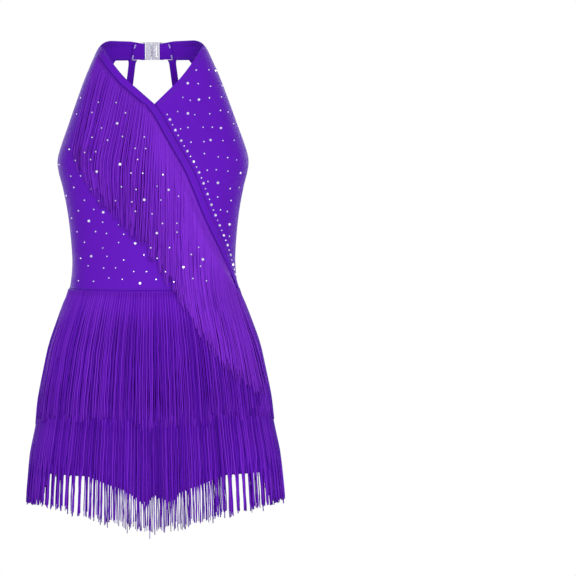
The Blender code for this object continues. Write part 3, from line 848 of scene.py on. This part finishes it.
def comb(name, strands, finish, replaced, ridge_painted_shading=0.24):
    """Strands that hang free: each is two columns of one grid, with a ridge down its middle.

    strands holds a list of Nodes for each, and the last value says how much lighter the ridge is and how
    much darker the edges: a painted highlight on the ridge and painted shade at the edges.
    """
    rows = len(strands[0]) - 1
    columns = 3 * len(strands) - 1
    mesh = bmesh.new()
    layer = mesh.loops.layers.uv.new("cut")
    tone = mesh.verts.layers.float.new("tone")
    bmesh.ops.create_grid(mesh, x_segments=columns, y_segments=rows, size=0.5)
    spots = {}
    for vertex in mesh.verts:
        spots[vertex] = (round((vertex.co.x + 0.5) * columns), round((0.5 - vertex.co.y) * rows))
    gaps = [face for face in mesh.faces if min(spots[v][0] for v in face.verts) % 3 == 2]
    bmesh.ops.delete(mesh, geom=gaps, context="FACES")
    for face in mesh.faces:
        for loop in face.loops:
            column, row = spots[loop.vert]
            down = row / rows * UV_STRAND_LENGTH + column * UV_STRAND_PITCH
            loop[layer].uv = (0.5 * (column % 3) * UV_STRAND * MM, down)
    for vertex in mesh.verts:
        column, row = spots[vertex]
        node = strands[column // 3][row]
        part = column % 3 - 1
        reach = part * node.width / 2
        lift = (RIDGE if part == 0 else 0.0) + reach * math.sin(node.twist)
        vertex.co = (node.point + node.along * reach * math.cos(node.twist) + node.out * lift) * MM
        # Painted highlight down each strand's ridge and painted shade along its edges.
        vertex[tone] = min(1.0, max(0.0, node.tone + (ridge_painted_shading if part == 0 else -ridge_painted_shading)))
    piece = finish_piece(name, mesh, finish, replaced)
    thicken(piece, STRAND_WALL, 0.0)


def waver(strand, z, scale, salt):
    """Smooth random value from -1 to 1 along a strand that its neighbours share."""
    return noise.noise(Vector((strand * scale, z * 0.011, salt)))


def layer_out(fringe, layer, down):
    """How much further out a strand of a layer lies, once it has left the head."""
    return LAYER_STEP[fringe] * layer * ease(down * 8)


def twist_at(turn, spin, down, below):
    """A strand's twist: its turn sets in below the head, and its spin adds to it on the way down."""
    return turn * ease(down * 3) + spin * below


def strand_nature(dice, turn, spin):
    """A strand's own sideways share, how far it turns, and its twist for each millimetre."""
    return dice.uniform(-1, 1), dice.uniform(-turn, turn), dice.uniform(-spin, spin)


def strand_node(angle, z, out, drift, twist, tone, width):
    """The Node of a strand at a place of the figure, lifted off it and moved sideways."""
    point, level, normal = face_frame(angle, z)
    return Node(point + normal * out + level * drift, level, normal, twist, tone, width)


def strand_tone_and_shade(dice, i, layer, salt):
    """A strand's tone with painted shade: every second pair is painted darker, as if it lay deeper, the
    others lighter, and the inner layer is painted darker as shade under the outer one; the rest differs
    at random.
    """
    pair = dice.uniform(0.06, 0.26) * (1 if i // 2 % 2 else -1)
    return 0.5 + pair + 0.08 * waver(i, 0, 0.6, salt) + dice.uniform(-0.1, 0.1) - 0.12 * (1 - layer)


def kink(i, z, root):
    """Sideways kinks of the crimped yarn, which start below its head."""
    return KINK * waver(i, z * 9, 0.9, 1.5) * ease((root - z) / KINK_START)


def upper_out(z, root, tip):
    """Lift of the upper skirt fringe's inner strands, whose tips lean in a little."""
    swung = (read(SPREAD, "upper", z) - 1.6) * ease((root - z) / ROOT_CURVE)
    return HEAD_OUT + swung - TIP_LEAN * ease((tip + TIP_LEAN_LENGTH - z) / TIP_LEAN_LENGTH)


def lower_out(z, root, cover):
    """Lift of the lower skirt fringe's inner strands: under the upper one, then swung out."""
    hidden = max(LOWER_SPREAD, read(SPREAD, "upper", max(z, cover)) - LOWER_UNDER) + 0.6
    flared = LOWER_FLARED + FLARE_SLOPE * max(0.0, cover - LOWER_FLARE_DROP - z)
    out = hidden + (flared - hidden) * ease((cover + 3 - z) / LOWER_FLARE_LENGTH)
    return HEAD_OUT + (out - HEAD_OUT) * ease((root - z) / ROOT_CURVE)


def hem_at(angle):
    """Height of the shorts' hem at an angle round the skirt."""
    turn = math.radians(angle)
    share = math.acos(1 - 2 * abs(math.sin(turn))) / math.pi
    return read(HEM, "front" if math.cos(turn) > 0 else "back", share)


def build_upper_fringe(sizes, colours):
    """The skirt's upper fringe, two strands deep, from the waist seam."""
    dice = random.Random(11)
    width = sizes.strand_width / MM
    strands = []
    for i in range(sizes.upper_strands):
        along = (i + 0.5 * dice.random()) / sizes.upper_strands
        angle = -180 + 360 * along
        layer = i % 2
        root = waist(angle) - 0.9
        tip = read(TIERS, "upper_tip", abs(angle)) + dice.uniform(*RAGGED["upper"])
        tip += 6 * waver(i, 0, 0.09, 4.4)
        tone = strand_tone_and_shade(dice, i, layer, 3.1)
        own, turn, spin = strand_nature(dice, 1.1, 0.004)
        nodes = []
        for row in range(SKIRT_ROWS + 1):
            down = row / SKIRT_ROWS
            z = root + (tip - root) * down
            loose = ease((root - z) / SWAY_START["upper"])
            drift = loose * (0.9 * waver(i, z, 0.13, 5.0) + 0.6 * own + 0.7 * waver(i, z * 3, 0.9, 8.0))
            drift += kink(i, z, root)
            out = upper_out(z, root, tip) + layer_out("upper", layer, down)
            out += loose * 0.7 * waver(i, z, 0.3, 1.0)
            twist = twist_at(turn, spin, down, root - z)
            # Painted light: the tips are lightened against the shade they lie in where they lean in over
            # the lower fringe.
            shade = tone + 0.12 * ease((tip + 30 - z) / 30)
            nodes.append(strand_node(angle, z, out, drift, twist, shade, width * (1 - 0.3 * down**3)))
        strands.append(nodes)
    comb("skirt_fringe_upper_yarn", strands, yarn_material(colours), ["skirt_fringe_upper"])


def build_lower_fringe(sizes, colours):
    """The skirt's lower fringe, whose long outer strands gather in locks below the shorts' hem.

    Every second strand ends at the hem, except at the sides, where all are long.
    """
    dice = random.Random(23)
    width = sizes.strand_width / MM
    count = sizes.lower_strands
    strands = []
    lock_start, lock_end = 0, 0
    for i in range(count):
        if i >= lock_end:
            lock_start, lock_end = i, i + 2 * dice.choice(LOCK_SIZES)
        along = (i + 0.5 * dice.random()) / count
        angle = -180 + 360 * along
        turned = abs(angle)
        from_centre = min(turned, 180 - turned)
        layer = i % 2
        hem, cover = hem_at(angle), read(TIERS, "upper_tip", turned)
        root, tip = read(TIERS, "lower_root", turned), read(TIERS, "lower_tip", turned)
        tip += 3.5 * waver(i, 0, 0.05, 6.0) + dice.uniform(*RAGGED["lower"])
        short = (1 - layer) * (1 - ease((from_centre - LONG_FROM) / 8))
        tip += short * max(0.0, hem + dice.uniform(1, 4) - tip)
        tip -= dice.uniform(3, 8) if dice.random() < 0.03 else 0.0
        tone = strand_tone_and_shade(dice, i, 1, 7.7) - 0.06
        own, turn, spin = strand_nature(dice, 1.1, 0.004)
        pitch = math.radians(360 / count) * (section(hem)[0] + LOWER_FLARED)
        pull = layer * (0.1 + 0.42 * ease((from_centre - LOCK_FROM) / 18))
        thinned = 0.88 - 0.52 * ease((from_centre - 10) / 32)
        lock = pull * ((lock_start + lock_end) / 2 - i) * pitch
        nodes = []
        for row in range(SKIRT_ROWS + 1):
            down = (row / SKIRT_ROWS) ** 0.9
            z = root + 2 + (tip - root - 2) * down
            loose = ease((cover - z + 20) / SWAY_START["lower"])
            drift = loose * (1.3 * waver(i, 0, 0.12, 2.0) + 0.7 * own + 0.9 * waver(i, z * 2, 0.5, 8.0))
            drift += lock * ease((hem + 22 - z) / LOCK_LENGTH) + kink(i, z, root)
            out = lower_out(z, root, cover) + layer_out("lower", layer, down)
            out += loose * 0.8 * waver(i, z, 0.17, 1.0)
            twist = twist_at(turn, spin, down, root - z)
            free = ease((hem + 6 - z) / 16)
            # Painted light and shade: strands hanging free below the hem are painted lighter, as light
            # shining through the thin yarn, and a band just under the upper fringe's tips is painted
            # darker as their shade.
            shade = tone + 0.15 * free - 0.1 * ease(1 - abs(cover - 6 - z) / 12)
            nodes.append(strand_node(angle, z, out, drift, twist, shade, width * (1 - thinned * free)))
        strands.append(nodes)
    comb("skirt_fringe_lower_yarn", strands, yarn_material(colours), ["skirt_fringe_lower"])


def wrap_strand_at(along):
    """Root height and tip of the bodice strand at a share of the fringe's length."""
    place = along * (len(WRAP_STRANDS) - 1)
    i = min(int(place), len(WRAP_STRANDS) - 2)
    first, second, t = WRAP_STRANDS[i], WRAP_STRANDS[i + 1], place - i
    return WrapStrand(*(a + (b - a) * t for a, b in zip(first, second)))


def wrap_lengths():
    """Shares of the bodice fringe's length at even steps along its head."""
    fine = 240
    lengths, last = [0.0], None
    for i in range(fine + 1):
        line = wrap_strand_at(i / fine)
        spot = figure_face(beside_edge(line.root_z, BAND_WIDTH), line.root_z)
        if last is not None:
            lengths.append(lengths[-1] + (spot - last).length)
        last = spot
    return [length / lengths[-1] for length in lengths]


def wrap_share(even, lengths):
    """The table's share for an even share of the head's length."""
    for i in range(len(lengths) - 1):
        if lengths[i + 1] >= even:
            break
    return (i + (even - lengths[i]) / (lengths[i + 1] - lengths[i])) / (len(lengths) - 1)


@functools.lru_cache(maxsize=None)
def wrap_ends(line):
    """Angles at which a bodice strand starts and ends."""
    start = beside_edge(line.root_z, BAND_WIDTH + TAPE_GAP + 0.5 * TAPE_HEIGHT)
    reach = section(line.tip_z)[0] + read(SPREAD, "wrap", line.tip_z)
    return start, math.degrees(math.asin(min(0.99, line.tip_x / reach)))


def wrap_path(line, down):
    """Angle, height and lift of a bodice strand at a share of its way down."""
    z = line.root_z + (line.tip_z - line.root_z) * down
    start, end = wrap_ends(line)
    out = 2.4 + (read(SPREAD, "wrap", z) - 2.1) * ease((line.root_z - z) / ROOT_CURVE)
    return start + (end - start) * down, z, out


def build_bodice_fringe(sizes, colours):
    """The fringe that hangs from the slanting edge and lies on the bodice."""
    dice = random.Random(37)
    lengths = wrap_lengths()
    width = sizes.strand_width / MM
    strands = []
    for i in range(sizes.bodice_strands):
        share = wrap_share((i + dice.random()) / sizes.bodice_strands, lengths)
        line = wrap_strand_at(share)
        ragged = dice.uniform(*RAGGED["bodice"]) + 7 * waver(i, 0, 0.12, 4.0)
        line = line._replace(tip_z=line.tip_z + ragged)
        layer = i % 2
        # Painted sheen: strands nearer the band are painted lighter.
        tone = 0.34 + 0.65 * strand_tone_and_shade(dice, i, layer, 9.3) + 0.16 * share
        own, turn, spin = strand_nature(dice, 0.6, 0.002)
        nodes = []
        for row in range(BODICE_ROWS + 1):
            down = row / BODICE_ROWS
            angle, z, out = wrap_path(line, down)
            loose = ease((line.root_z - z) / SWAY_START["bodice"])
            drift = loose * (0.7 * waver(i, z, 0.1, 5.0) + 0.6 * own + 1.0 * waver(i, z * 2, 0.5, 8.0))
            drift += kink(i, z, line.root_z)
            out += layer_out("bodice", layer, down) + loose * 0.4 * waver(i, z, 0.3, 1.0)
            close = 0.4 * ease(down * 4 - 3) * ease((z - WAIST) / 40) + 0.5 * ease(1 - share * 8)
            out -= (out - TAPE_LIFT) * min(0.6, close)
            twist = twist_at(turn, spin, down, line.root_z - z)
            # Painted light: the tips are lightened against the shade they cast on the cloth.
            shade = tone + 0.1 * ease(down * 3 - 2)
            nodes.append(strand_node(angle, z, out, drift, twist, shade, width * (1 - 0.5 * down**2)))
        strands.append(nodes)
    comb("bodice_fringe_yarn", strands, yarn_material(colours), ["bodice_fringe"], 0.16)


def build_heads(colours):
    """The woven heads of the three fringes; the bodice fringe's head is a darker copy of the knit, as
    painted shade of the groove beside the band.
    """
    knit = knit_material(colours)
    # Painted shade: a darker copy of the knit on the bodice fringe's head draws the dark groove beside
    # the band.
    groove_painted_shade = knit_material(colours, "purple_head", painted_shade_factor=0.72)

    def upper(across, down):
        angle = -180 + 360 * across
        rise = 0.3 * math.sin(math.pi * down) - 0.85 * ease(1 - down * 2)
        return figure(angle, waist(angle) + 0.2 - 4.0 * down, TAPE_LIFT + rise)

    def lower(across, down):
        angle = -180 + 360 * across
        return figure(angle, read(TIERS, "lower_root", abs(angle)) + TAPE_HEIGHT * (1 - down), TAPE_LIFT)

    def bodice(across, down):
        z = wrap_strand_at(down).root_z
        angle = beside_edge(z, BAND_WIDTH + 0.5 + (TAPE_HEIGHT + 0.4) * (1 - across))
        return figure(angle, z, TAPE_LIFT + 0.1 + 0.4 * math.sin(math.pi * across))

    cloth("fringe_head_upper", 220, 5, upper, (575, 4.4), knit, HEAD_WALL)
    cloth("fringe_head_lower", 220, 2, lower, (719, 2.7), knit, HEAD_WALL)
    cloth("fringe_head_bodice", 3, 120, bodice, (4, 336), groove_painted_shade, HEAD_WALL)


# ---------------------------------------------------------------------------------------------
# Stones and sewing
# ---------------------------------------------------------------------------------------------

STONE_ON_FRINGE = 2.1  # from a strand's middle to a stone that is glued on the fringe
SEAM_STONE_OFF = 6.2  # from the slanting seam to the row of stones beside it
SEAM_STONE_TOP = -75.0
FIRST_ROW = {"left": -24.0, "right": -46.0, "back": -162.0}  # height of a panel's first row
FROM_SEAM = 13.0  # from the slanting edge to the left front's other stones
FROM_BAND = 27.0  # from the edge to the right front's stones
STONE_ON_YARN = 0.68  # share of the places on the fringe that have a stone


def stamped(template, places):
    """A bmesh with a copy of a template mesh at each place."""
    mesh = bmesh.new()
    for place in places:
        copy = template.copy()
        copy.transform(place)
        mesh.from_mesh(copy)
        bpy.data.meshes.remove(copy)
    return mesh


def stone_template():
    """A flat-backed stone of 1 m across: a facetted dome with a flat table."""
    shape = bmesh.new()
    bmesh.ops.create_cone(shape, cap_ends=True, segments=8, radius1=0.5, radius2=0.44, depth=0.12)
    table = max(shape.faces, key=lambda face: face.calc_center_median().z)
    bmesh.ops.inset_region(shape, faces=[table], thickness=0.12)
    bmesh.ops.translate(shape, vec=(0, 0, 0.2), verts=table.verts)
    bmesh.ops.translate(shape, vec=(0, 0, 0.06), verts=shape.verts)
    return mesh_data("stone", shape)


def on_cloth(angle, z, out, size, spin):
    """A matrix that sets a template on the cloth, its Z along the normal."""
    point, level, normal = face_frame(angle, z)
    turn = Matrix((level, normal.cross(level), normal)).transposed().to_4x4()
    place = Matrix.Translation((point + normal * out) * MM)
    return place @ turn @ Matrix.Rotation(spin, 4, "Z") @ Matrix.Scale(size, 4)


def fringe_over(angle, z):
    """Lift of the bodice fringe's outer face where it covers the cloth, or None."""
    fine = 4 * (len(WRAP_STRANDS) - 1)
    for i in range(fine + 1):
        line = wrap_strand_at(i / fine)
        if line.tip_z + 4 <= z <= line.root_z:
            spot, _, out = wrap_path(line, (line.root_z - z) / (line.root_z - line.tip_z))
            if abs(spot - angle) < 3.5:
                return out + STONE_ON_FRINGE
    return None


Stone = namedtuple("Stone", "angle z out large")


def scatter(dice, heights, reach, spacing, wanted, every, tilt=None):
    """Stones in rows seen from the front or the back, staggered, with a large one now and then.

    reach gives a row's first and last x for its height, and tilt how far a row falls along x.
    """
    found = []
    for number, height in enumerate(heights):
        first, last = reach(height)
        fall = tilt(number) if tilt else 0.0
        x = first + spacing * (0.1 + 0.5 * (number % 2))
        count = 0
        while x < last:
            spot = x + spacing * dice.uniform(-0.24, 0.24)
            z = height - fall * (x - first) + spacing * dice.uniform(-0.2, 0.2)
            if wanted(spot, z):
                found.append((spot, z, (count + 2 * number) % every == 2))
            x += spacing * dice.uniform(0.95, 1.08)
            count += 1
    return found


def cloth_x(x, z):
    """x of the inner face behind a stone that is seen at x."""
    half_width = section(z)[0]
    return x * half_width / (half_width + 2.0)


def edge_x(z, name="right"):
    """x of a front panel's free edge at a height."""
    return section(z)[0] * math.sin(math.radians(edge_angle(z, name)))


def left_front_stones(dice, spacing, wall):
    """Close rows on the left front, which fall along the seam lower down."""
    close = spacing * 0.68
    heights = [FIRST_ROW["left"] - close * 1.3 * i for i in range(16)]

    def reach(z):
        return edge_x(z, "left") + 12, 118

    def tilt(number):
        return 0.05 * max(0, number - 4) if number < 12 else 0.4

    def wanted(x, z):
        on_panel = x - edge_x(z, "left") > FROM_SEAM and abs(x) < section(z)[0] + 0.4
        return on_panel and z > WAIST + 16

    found = scatter(dice, heights, reach, close, wanted, 5, tilt)
    return [Stone(angle_at(cloth_x(x, z), z), z, wall, large) for x, z, large in found]


def right_front_stones(dice, spacing, wall):
    """Level rows on the right front, which most places on the fringe carry on."""
    heights = [FIRST_ROW["right"] - spacing * 0.76 * i for i in range(19)]

    def wanted(x, z):
        return -section(z)[0] - 0.5 < x < edge_x(z) - FROM_BAND and z > WAIST + 4

    stones = []
    for x, z, large in scatter(dice, heights, lambda z: (-112, 110), spacing, wanted, 7):
        angle = angle_at(cloth_x(x, z), z)
        over = fringe_over(angle, z)
        if over is None or dice.random() < STONE_ON_YARN:
            stones.append(Stone(angle, z, over or wall, large))
    return stones


def back_stones(dice, spacing, wall):
    """Level rows on the low back."""
    heights = [FIRST_ROW["back"] - spacing * 0.8 * i for i in range(12)]

    def wanted(x, z):
        angle = 180 - angle_at(x, z)
        return abs(x) < section(z)[0] and back_top(angle) - 8 > z > waist(angle) + 6

    found = scatter(dice, heights, lambda z: (-112, 112), spacing * 0.86, wanted, 7)
    return [Stone(180 - angle_at(cloth_x(x, z), z), z, wall, large) for x, z, large in found]


def seam_stones(pitch, wall):
    """One row beside the slanting seam, large and small in turn."""
    stones, z, large = [], SEAM_STONE_TOP, False
    while z > WAIST + 8:
        angle = beside_edge(z, -SEAM_STONE_OFF, "left")
        if angle < SIDE_ANGLE:
            stones.append(Stone(angle, z, wall, large))
        run = figure_face(edge_angle(z - 1), z - 1) - figure_face(edge_angle(z), z)
        z -= pitch / run.length
        large = not large
    return stones


def plan_stones(sizes):
    """Where every stone sits, with its lift and size."""
    dice = random.Random(5)
    wall, spacing = sizes.wall / MM, sizes.stone_spacing / MM
    stones = left_front_stones(dice, spacing, wall)
    stones += right_front_stones(dice, spacing, wall)
    stones += back_stones(dice, spacing, wall)
    return stones + seam_stones(sizes.seam_stone_pitch / MM, wall)


def build_stones(sizes, colours, stones):
    """Glued stones on the bodice panels and on the fringe over the right front."""
    dice = random.Random(6)
    places = []
    for stone in stones:
        size = sizes.large_stone if stone.large else sizes.small_stone
        size *= dice.uniform(0.92, 1.06)
        places.append(on_cloth(stone.angle, stone.z, stone.out, size, dice.uniform(0, 0.8)))
    mesh = stamped(stone_template(), places)
    piece = finish_piece("glued_stones", mesh, stone_material(colours))
    piece.data.shade_flat()


def stitch_template():
    """A stitch 1 m long, along X."""
    shape = bmesh.new()
    bmesh.ops.create_uvsphere(shape, u_segments=6, v_segments=4, radius=0.5)
    bmesh.ops.scale(shape, vec=(1.0, 0.2, 0.16), verts=shape.verts)
    return mesh_data("stitch", shape)


def stitch_row(path, length):
    """Matrices of even stitches along a path of (point, normal) pairs, in millimetres."""
    made, carried = [], 0.0
    for (start, normal), (end, _) in zip(path, path[1:]):
        run = end - start
        distance = run.length
        if distance < 1e-6:
            continue
        along = run / distance
        side = normal.cross(along).normalized()
        turn = Matrix((along, side, along.cross(side))).transposed().to_4x4()
        while carried < distance:
            spot = start + along * carried
            made.append(Matrix.Translation(spot * MM) @ turn @ Matrix.Scale(length * 0.86 * MM, 4))
            carried += length
        carried -= distance
    return made


def surface_path(places, out):
    """Points and normals on the cloth for (angle, z) places."""
    path = []
    for angle, z in places:
        point, _, normal = face_frame(angle, z)
        path.append((point + normal * out, normal))
    return path


def steps(start, end, count):
    return [start + (end - start) * i / count for i in range(count + 1)]


def sewn_paths(wall, hem):
    """Paths of the rows of stitches along the hems, the collar, the waist and the bound edge."""
    out = wall + 0.05
    rows = []
    for inset in (hem - 1.2, hem):
        for side in (1, -1):
            arm = []
            for z in steps(FRONT_TOP - 6, SIDE_SEAM_TOP, 60):
                degree = (figure_face(90, z) - figure_face(89, z)).length
                arm.append((side * (SIDE_ANGLE - inset / degree), z))
            rows.append(surface_path(arm, out))
        neck = [(beside_edge(z, -inset, "left"), z) for z in steps(FRONT_TOP - 4, NECK_POINT - 1, 40)]
        rows.append(surface_path(neck, out))
        rows.append(surface_path([(a, back_top(a) - inset) for a in steps(91, 269, 120)], out))
    for z in (COLLAR_TOP - COLLAR_HEM, COLLAR_LOW + COLLAR_HEM):
        for side in (1, -1):
            trimmed = z - math.copysign(1.5, z)
            places = [(side * a, z + (trimmed - z) * ease((a - 150) / 20)) for a in steps(96, 168, 60)]
            rows.append(surface_path(places, out - 0.3))
            rows.append(surface_path(places, -0.55))
    rows.append(surface_path([(a, waist(a) + 1.6) for a in steps(-180, 180, 300)], out))
    for inset in (1.3, BAND_WIDTH - 0.9):
        places = [(beside_edge(z, inset), z) for z in steps(BAND_TOP - 2, WAIST + 4, 160)]
        rows.append(surface_path(places, BAND_OUT + 1.0))
    return rows


def bar_tack_places(wall):
    """Matrices of the zigzag stitches that hold the collar's ends, above and below the bar."""
    middle = (COLLAR_TOP + COLLAR_LOW) / 2
    angle = 180 - angle_at(BAR_X, middle) - math.degrees((LOOP_LENGTH - 1.2) / COLLAR_BACK_RADIUS)
    places = []
    for side in (1, -1):
        for i in range(12):
            z = middle + math.copysign(4.6 + 0.75 * (i % 6), i - 5.5)
            spot = figure(angle, z, -(FOLD_DEPTH + wall + 0.15))
            lean = Matrix.Rotation(math.radians(24 if i % 2 else -24), 4, "Y")
            place = Matrix.Translation(Vector((spot.x * side, spot.y, spot.z)) * MM) @ lean
            places.append(place @ Matrix.Scale(3.0 * MM, 4))
    return places


def build_sewing(sizes, colours):
    """Rows of stitches on the hems and seams, and the bar tacks inside the collar."""
    wall = sizes.wall / MM
    template = stitch_template()
    rows = []
    for path in sewn_paths(wall, sizes.hem_width / MM):
        rows += stitch_row(path, sizes.stitch_length / MM)
    thread = thread_material("purple_thread", colours.thread, 0.5)
    finish_piece("topstitching", stamped(template, rows), thread)
    thread = thread_material("pale_thread", colours.pale_thread, 0.3)
    finish_piece("bar_tacks", stamped(template, bar_tack_places(wall)), thread)


# ---------------------------------------------------------------------------------------------
# Clasp and stage
# ---------------------------------------------------------------------------------------------


def build_clasp(colours):
    """The clear clasp keeps its solids and gets its plastic."""
    clear = clear_material(colours)
    for name in ("clasp_hook", "clasp_loop"):
        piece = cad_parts[name]
        piece.data.materials.clear()
        piece.data.materials.append(clear)


FLOOR_Z = -0.78
AMBIENT = 0.6
LAMPS = [
    ("key", (1.1, -4.2, 0.2), 2.6, 80.0),
    ("fill", (-1.3, -4.2, -0.2), 2.6, 39.0),
    ("back_left", (1.6, 3.2, 0.4), 2.0, 34.0),
    ("back_right", (-1.7, 3.2, 0.2), 2.0, 34.0),
]
CAMERA_LENS = 400.0
CAMERA_PLACE = (0.0, -7.673, 0.05)
CAMERA_TARGET = (0.1608, 0.0, -0.285)
CAMERA_ROLL = -0.37


def build_stage(colours):
    """Pale floor, soft light and the camera."""
    scene = bpy.context.scene
    mesh = bmesh.new()
    bmesh.ops.create_grid(mesh, x_segments=1, y_segments=1, size=1.2)
    bmesh.ops.translate(mesh, vec=(0, 0, FLOOR_Z), verts=mesh.verts)
    data = mesh_data("studio_floor", mesh)
    data.materials.append(dyed("studio_floor", colours.floor, 0.01, 1.5, {"Roughness": 0.8})[0])
    new_object("studio_floor", data)

    world = bpy.data.worlds.new("soft_studio")
    scene.world = world
    world.use_nodes = True
    tree = world.node_tree
    seen = tree.nodes["Background"]
    seen.inputs["Color"].default_value = (1, 1, 1, 1)
    lit = add(tree, "ShaderNodeBackground", {"Color": (1, 1, 1, 1), "Strength": AMBIENT})
    path = add(tree, "ShaderNodeLightPath")
    mix = add(tree, "ShaderNodeMixShader")
    join(path, "Is Camera Ray", mix, "Fac")
    join(lit, "Background", mix, 1)
    join(seen, "Background", mix, 2)
    join(mix, "Shader", tree.nodes["World Output"], "Surface")

    for name, place, size, power in LAMPS:
        lamp = bpy.data.lights.new(name, "AREA")
        lamp.shape = "DISK"
        lamp.size = size
        lamp.energy = power
        holder = new_object(name, lamp)
        holder.location = place
        aim = Vector((0, 0, -0.28)) - Vector(place)
        holder.rotation_euler = aim.to_track_quat("-Z", "Y").to_euler()

    lens = bpy.data.cameras.new("camera")
    lens.lens = CAMERA_LENS
    lens.clip_end = 40
    camera = new_object("camera", lens)
    camera.location = CAMERA_PLACE
    look = (Vector(CAMERA_TARGET) - Vector(CAMERA_PLACE)).to_track_quat("-Z", "Y").to_matrix()
    camera.rotation_euler = (look @ Matrix.Rotation(math.radians(CAMERA_ROLL), 3, "Z")).to_euler()
    scene.camera = camera
    scene.view_settings.view_transform = "Standard"


# ---------------------------------------------------------------------------------------------
# The add-on
# ---------------------------------------------------------------------------------------------


def length_property(name, description, default):
    return FloatProperty(name=name, description=description, default=default, unit="LENGTH", precision=5)


def count_property(name, description, default):
    return IntProperty(name=name, description=description, default=default, min=10)


def colour_property(name, description, default):
    return FloatVectorProperty(
        name=name, description=description, subtype="COLOR", size=3, min=0, max=1, default=default
    )


class DressSizes(bpy.types.PropertyGroup):
    wall: length_property("Cloth wall", "Thickness of the knit", 0.0012)
    hem_width: length_property("Hem width", "Width of the turned hems", 0.006)
    stitch_length: length_property("Stitch", "Length of a stitch", 0.0029)
    strand_width: length_property("Strand", "Width of a fringe strand", 0.0015)
    upper_strands: count_property("Upper strands", "Strands of the upper skirt fringe", 860)
    lower_strands: count_property("Lower strands", "Strands of the lower skirt fringe", 940)
    bodice_strands: count_property("Bodice strands", "Strands of the bodice fringe", 320)
    small_stone: length_property("Small stone", "Diameter of most stones", 0.002)
    large_stone: length_property("Large stone", "Diameter of the larger stones", 0.0036)
    stone_spacing: length_property("Stone spacing", "Distance between stones on the right front", 0.0186)
    seam_stone_pitch: length_property("Seam stones", "Distance between the stones by the seam", 0.0072)


class DressColours(bpy.types.PropertyGroup):
    knit: colour_property("Knit", "The dyed knit", (0.118, 0.009, 0.475))
    # The three fringe colours are the ends and middle of the ramp that the strands' tone runs over,
    # painted shade and highlights included.
    fringe_dark: colour_property("Fringe, dark", "The darkest strands", (0.05, 0.002, 0.30))
    fringe: colour_property("Fringe", "Most strands", (0.105, 0.005, 0.43))
    fringe_light: colour_property("Fringe, light", "The lightest strands", (0.22, 0.03, 0.62))
    stone: colour_property("Stones", "The crystal stones", (0.95, 0.88, 1.0))
    clasp: colour_property("Clasp", "The clear plastic", (0.9, 0.9, 0.96))
    thread: colour_property("Thread", "The sewing thread", (0.07, 0.003, 0.31))
    pale_thread: colour_property("Bar tack thread", "The thread of the bar tacks", (0.8, 0.72, 0.95))
    floor: colour_property("Floor", "The studio floor", (0.9, 0.9, 0.9))


def settings(context):
    return context.scene.dress_sizes, context.scene.dress_colours


class DRESS_OT_bodice(bpy.types.Operator):
    """Makes the bodice's panels, their turned hems and the bound edge of the wrap"""

    bl_idname = "dress.bodice"
    bl_label = "Bodice"

    def execute(self, context):
        build_bodice(*settings(context))
        return {"FINISHED"}


class DRESS_OT_collar(bpy.types.Operator):
    """Makes the collar and the back straps"""

    bl_idname = "dress.collar"
    bl_label = "Collar and Straps"

    def execute(self, context):
        build_collar(*settings(context))
        build_straps(*settings(context))
        return {"FINISHED"}


class DRESS_OT_shorts(bpy.types.Operator):
    """Makes the shorts under the fringe"""

    bl_idname = "dress.shorts"
    bl_label = "Shorts"

    def execute(self, context):
        build_shorts(*settings(context))
        return {"FINISHED"}


class DRESS_OT_fringe(bpy.types.Operator):
    """Makes the three fringes and their heads"""

    bl_idname = "dress.fringe"
    bl_label = "Fringe"

    def execute(self, context):
        build_heads(context.scene.dress_colours)
        build_upper_fringe(*settings(context))
        build_lower_fringe(*settings(context))
        build_bodice_fringe(*settings(context))
        return {"FINISHED"}


class DRESS_OT_sheets(bpy.types.Operator):
    """Does nothing: every piece of cloth keeps its flat cut from the moment it is made"""

    bl_idname = "dress.sheets"
    bl_label = "Flat Cuts"

    def execute(self, context):
        return {"FINISHED"}


class DRESS_OT_stones(bpy.types.Operator):
    """Glues the stones on"""

    bl_idname = "dress.stones"
    bl_label = "Stones"

    def execute(self, context):
        sizes, colours = settings(context)
        build_stones(sizes, colours, plan_stones(sizes))
        return {"FINISHED"}


class DRESS_OT_sewing(bpy.types.Operator):
    """Makes the rows of stitches and the bar tacks"""

    bl_idname = "dress.sewing"
    bl_label = "Sewing"

    def execute(self, context):
        build_sewing(*settings(context))
        return {"FINISHED"}


class DRESS_OT_clasp(bpy.types.Operator):
    """Gives the clasp its clear plastic"""

    bl_idname = "dress.clasp"
    bl_label = "Clasp"

    def execute(self, context):
        build_clasp(context.scene.dress_colours)
        return {"FINISHED"}


class DRESS_OT_stage(bpy.types.Operator):
    """Sets the floor, the lights and the camera"""

    bl_idname = "dress.stage"
    bl_label = "Stage"

    def execute(self, context):
        build_stage(context.scene.dress_colours)
        return {"FINISHED"}


OPERATORS = (
    DRESS_OT_bodice, DRESS_OT_collar, DRESS_OT_shorts, DRESS_OT_fringe, DRESS_OT_sheets,
    DRESS_OT_stones, DRESS_OT_sewing, DRESS_OT_clasp, DRESS_OT_stage,
)


class DRESS_PT_panel(bpy.types.Panel):
    """Lists the dress's pieces, sizes and colours"""

    bl_idname = "DRESS_PT_panel"
    bl_label = "Dance Dress"
    bl_space_type = "VIEW_3D"
    bl_region_type = "UI"
    bl_category = "Dance Dress"

    def draw(self, context):
        for group in settings(context):
            column = self.layout.column(align=True)
            for name in group.__annotations__:
                column.prop(group, name)
        for operator in OPERATORS:
            self.layout.operator(operator.bl_idname)


CLASSES = (DressSizes, DressColours, *OPERATORS, DRESS_PT_panel)


def register():
    for item in CLASSES:
        bpy.utils.register_class(item)
    bpy.types.Scene.dress_sizes = PointerProperty(type=DressSizes)
    bpy.types.Scene.dress_colours = PointerProperty(type=DressColours)


def unregister():
    del bpy.types.Scene.dress_colours
    del bpy.types.Scene.dress_sizes
    for item in reversed(CLASSES):
        bpy.utils.unregister_class(item)


def main():
    register()
    for operator in OPERATORS:
        family, name = operator.bl_idname.split(".")
        getattr(getattr(bpy.ops, family), name)()


if __name__ == "__main__":
    main()
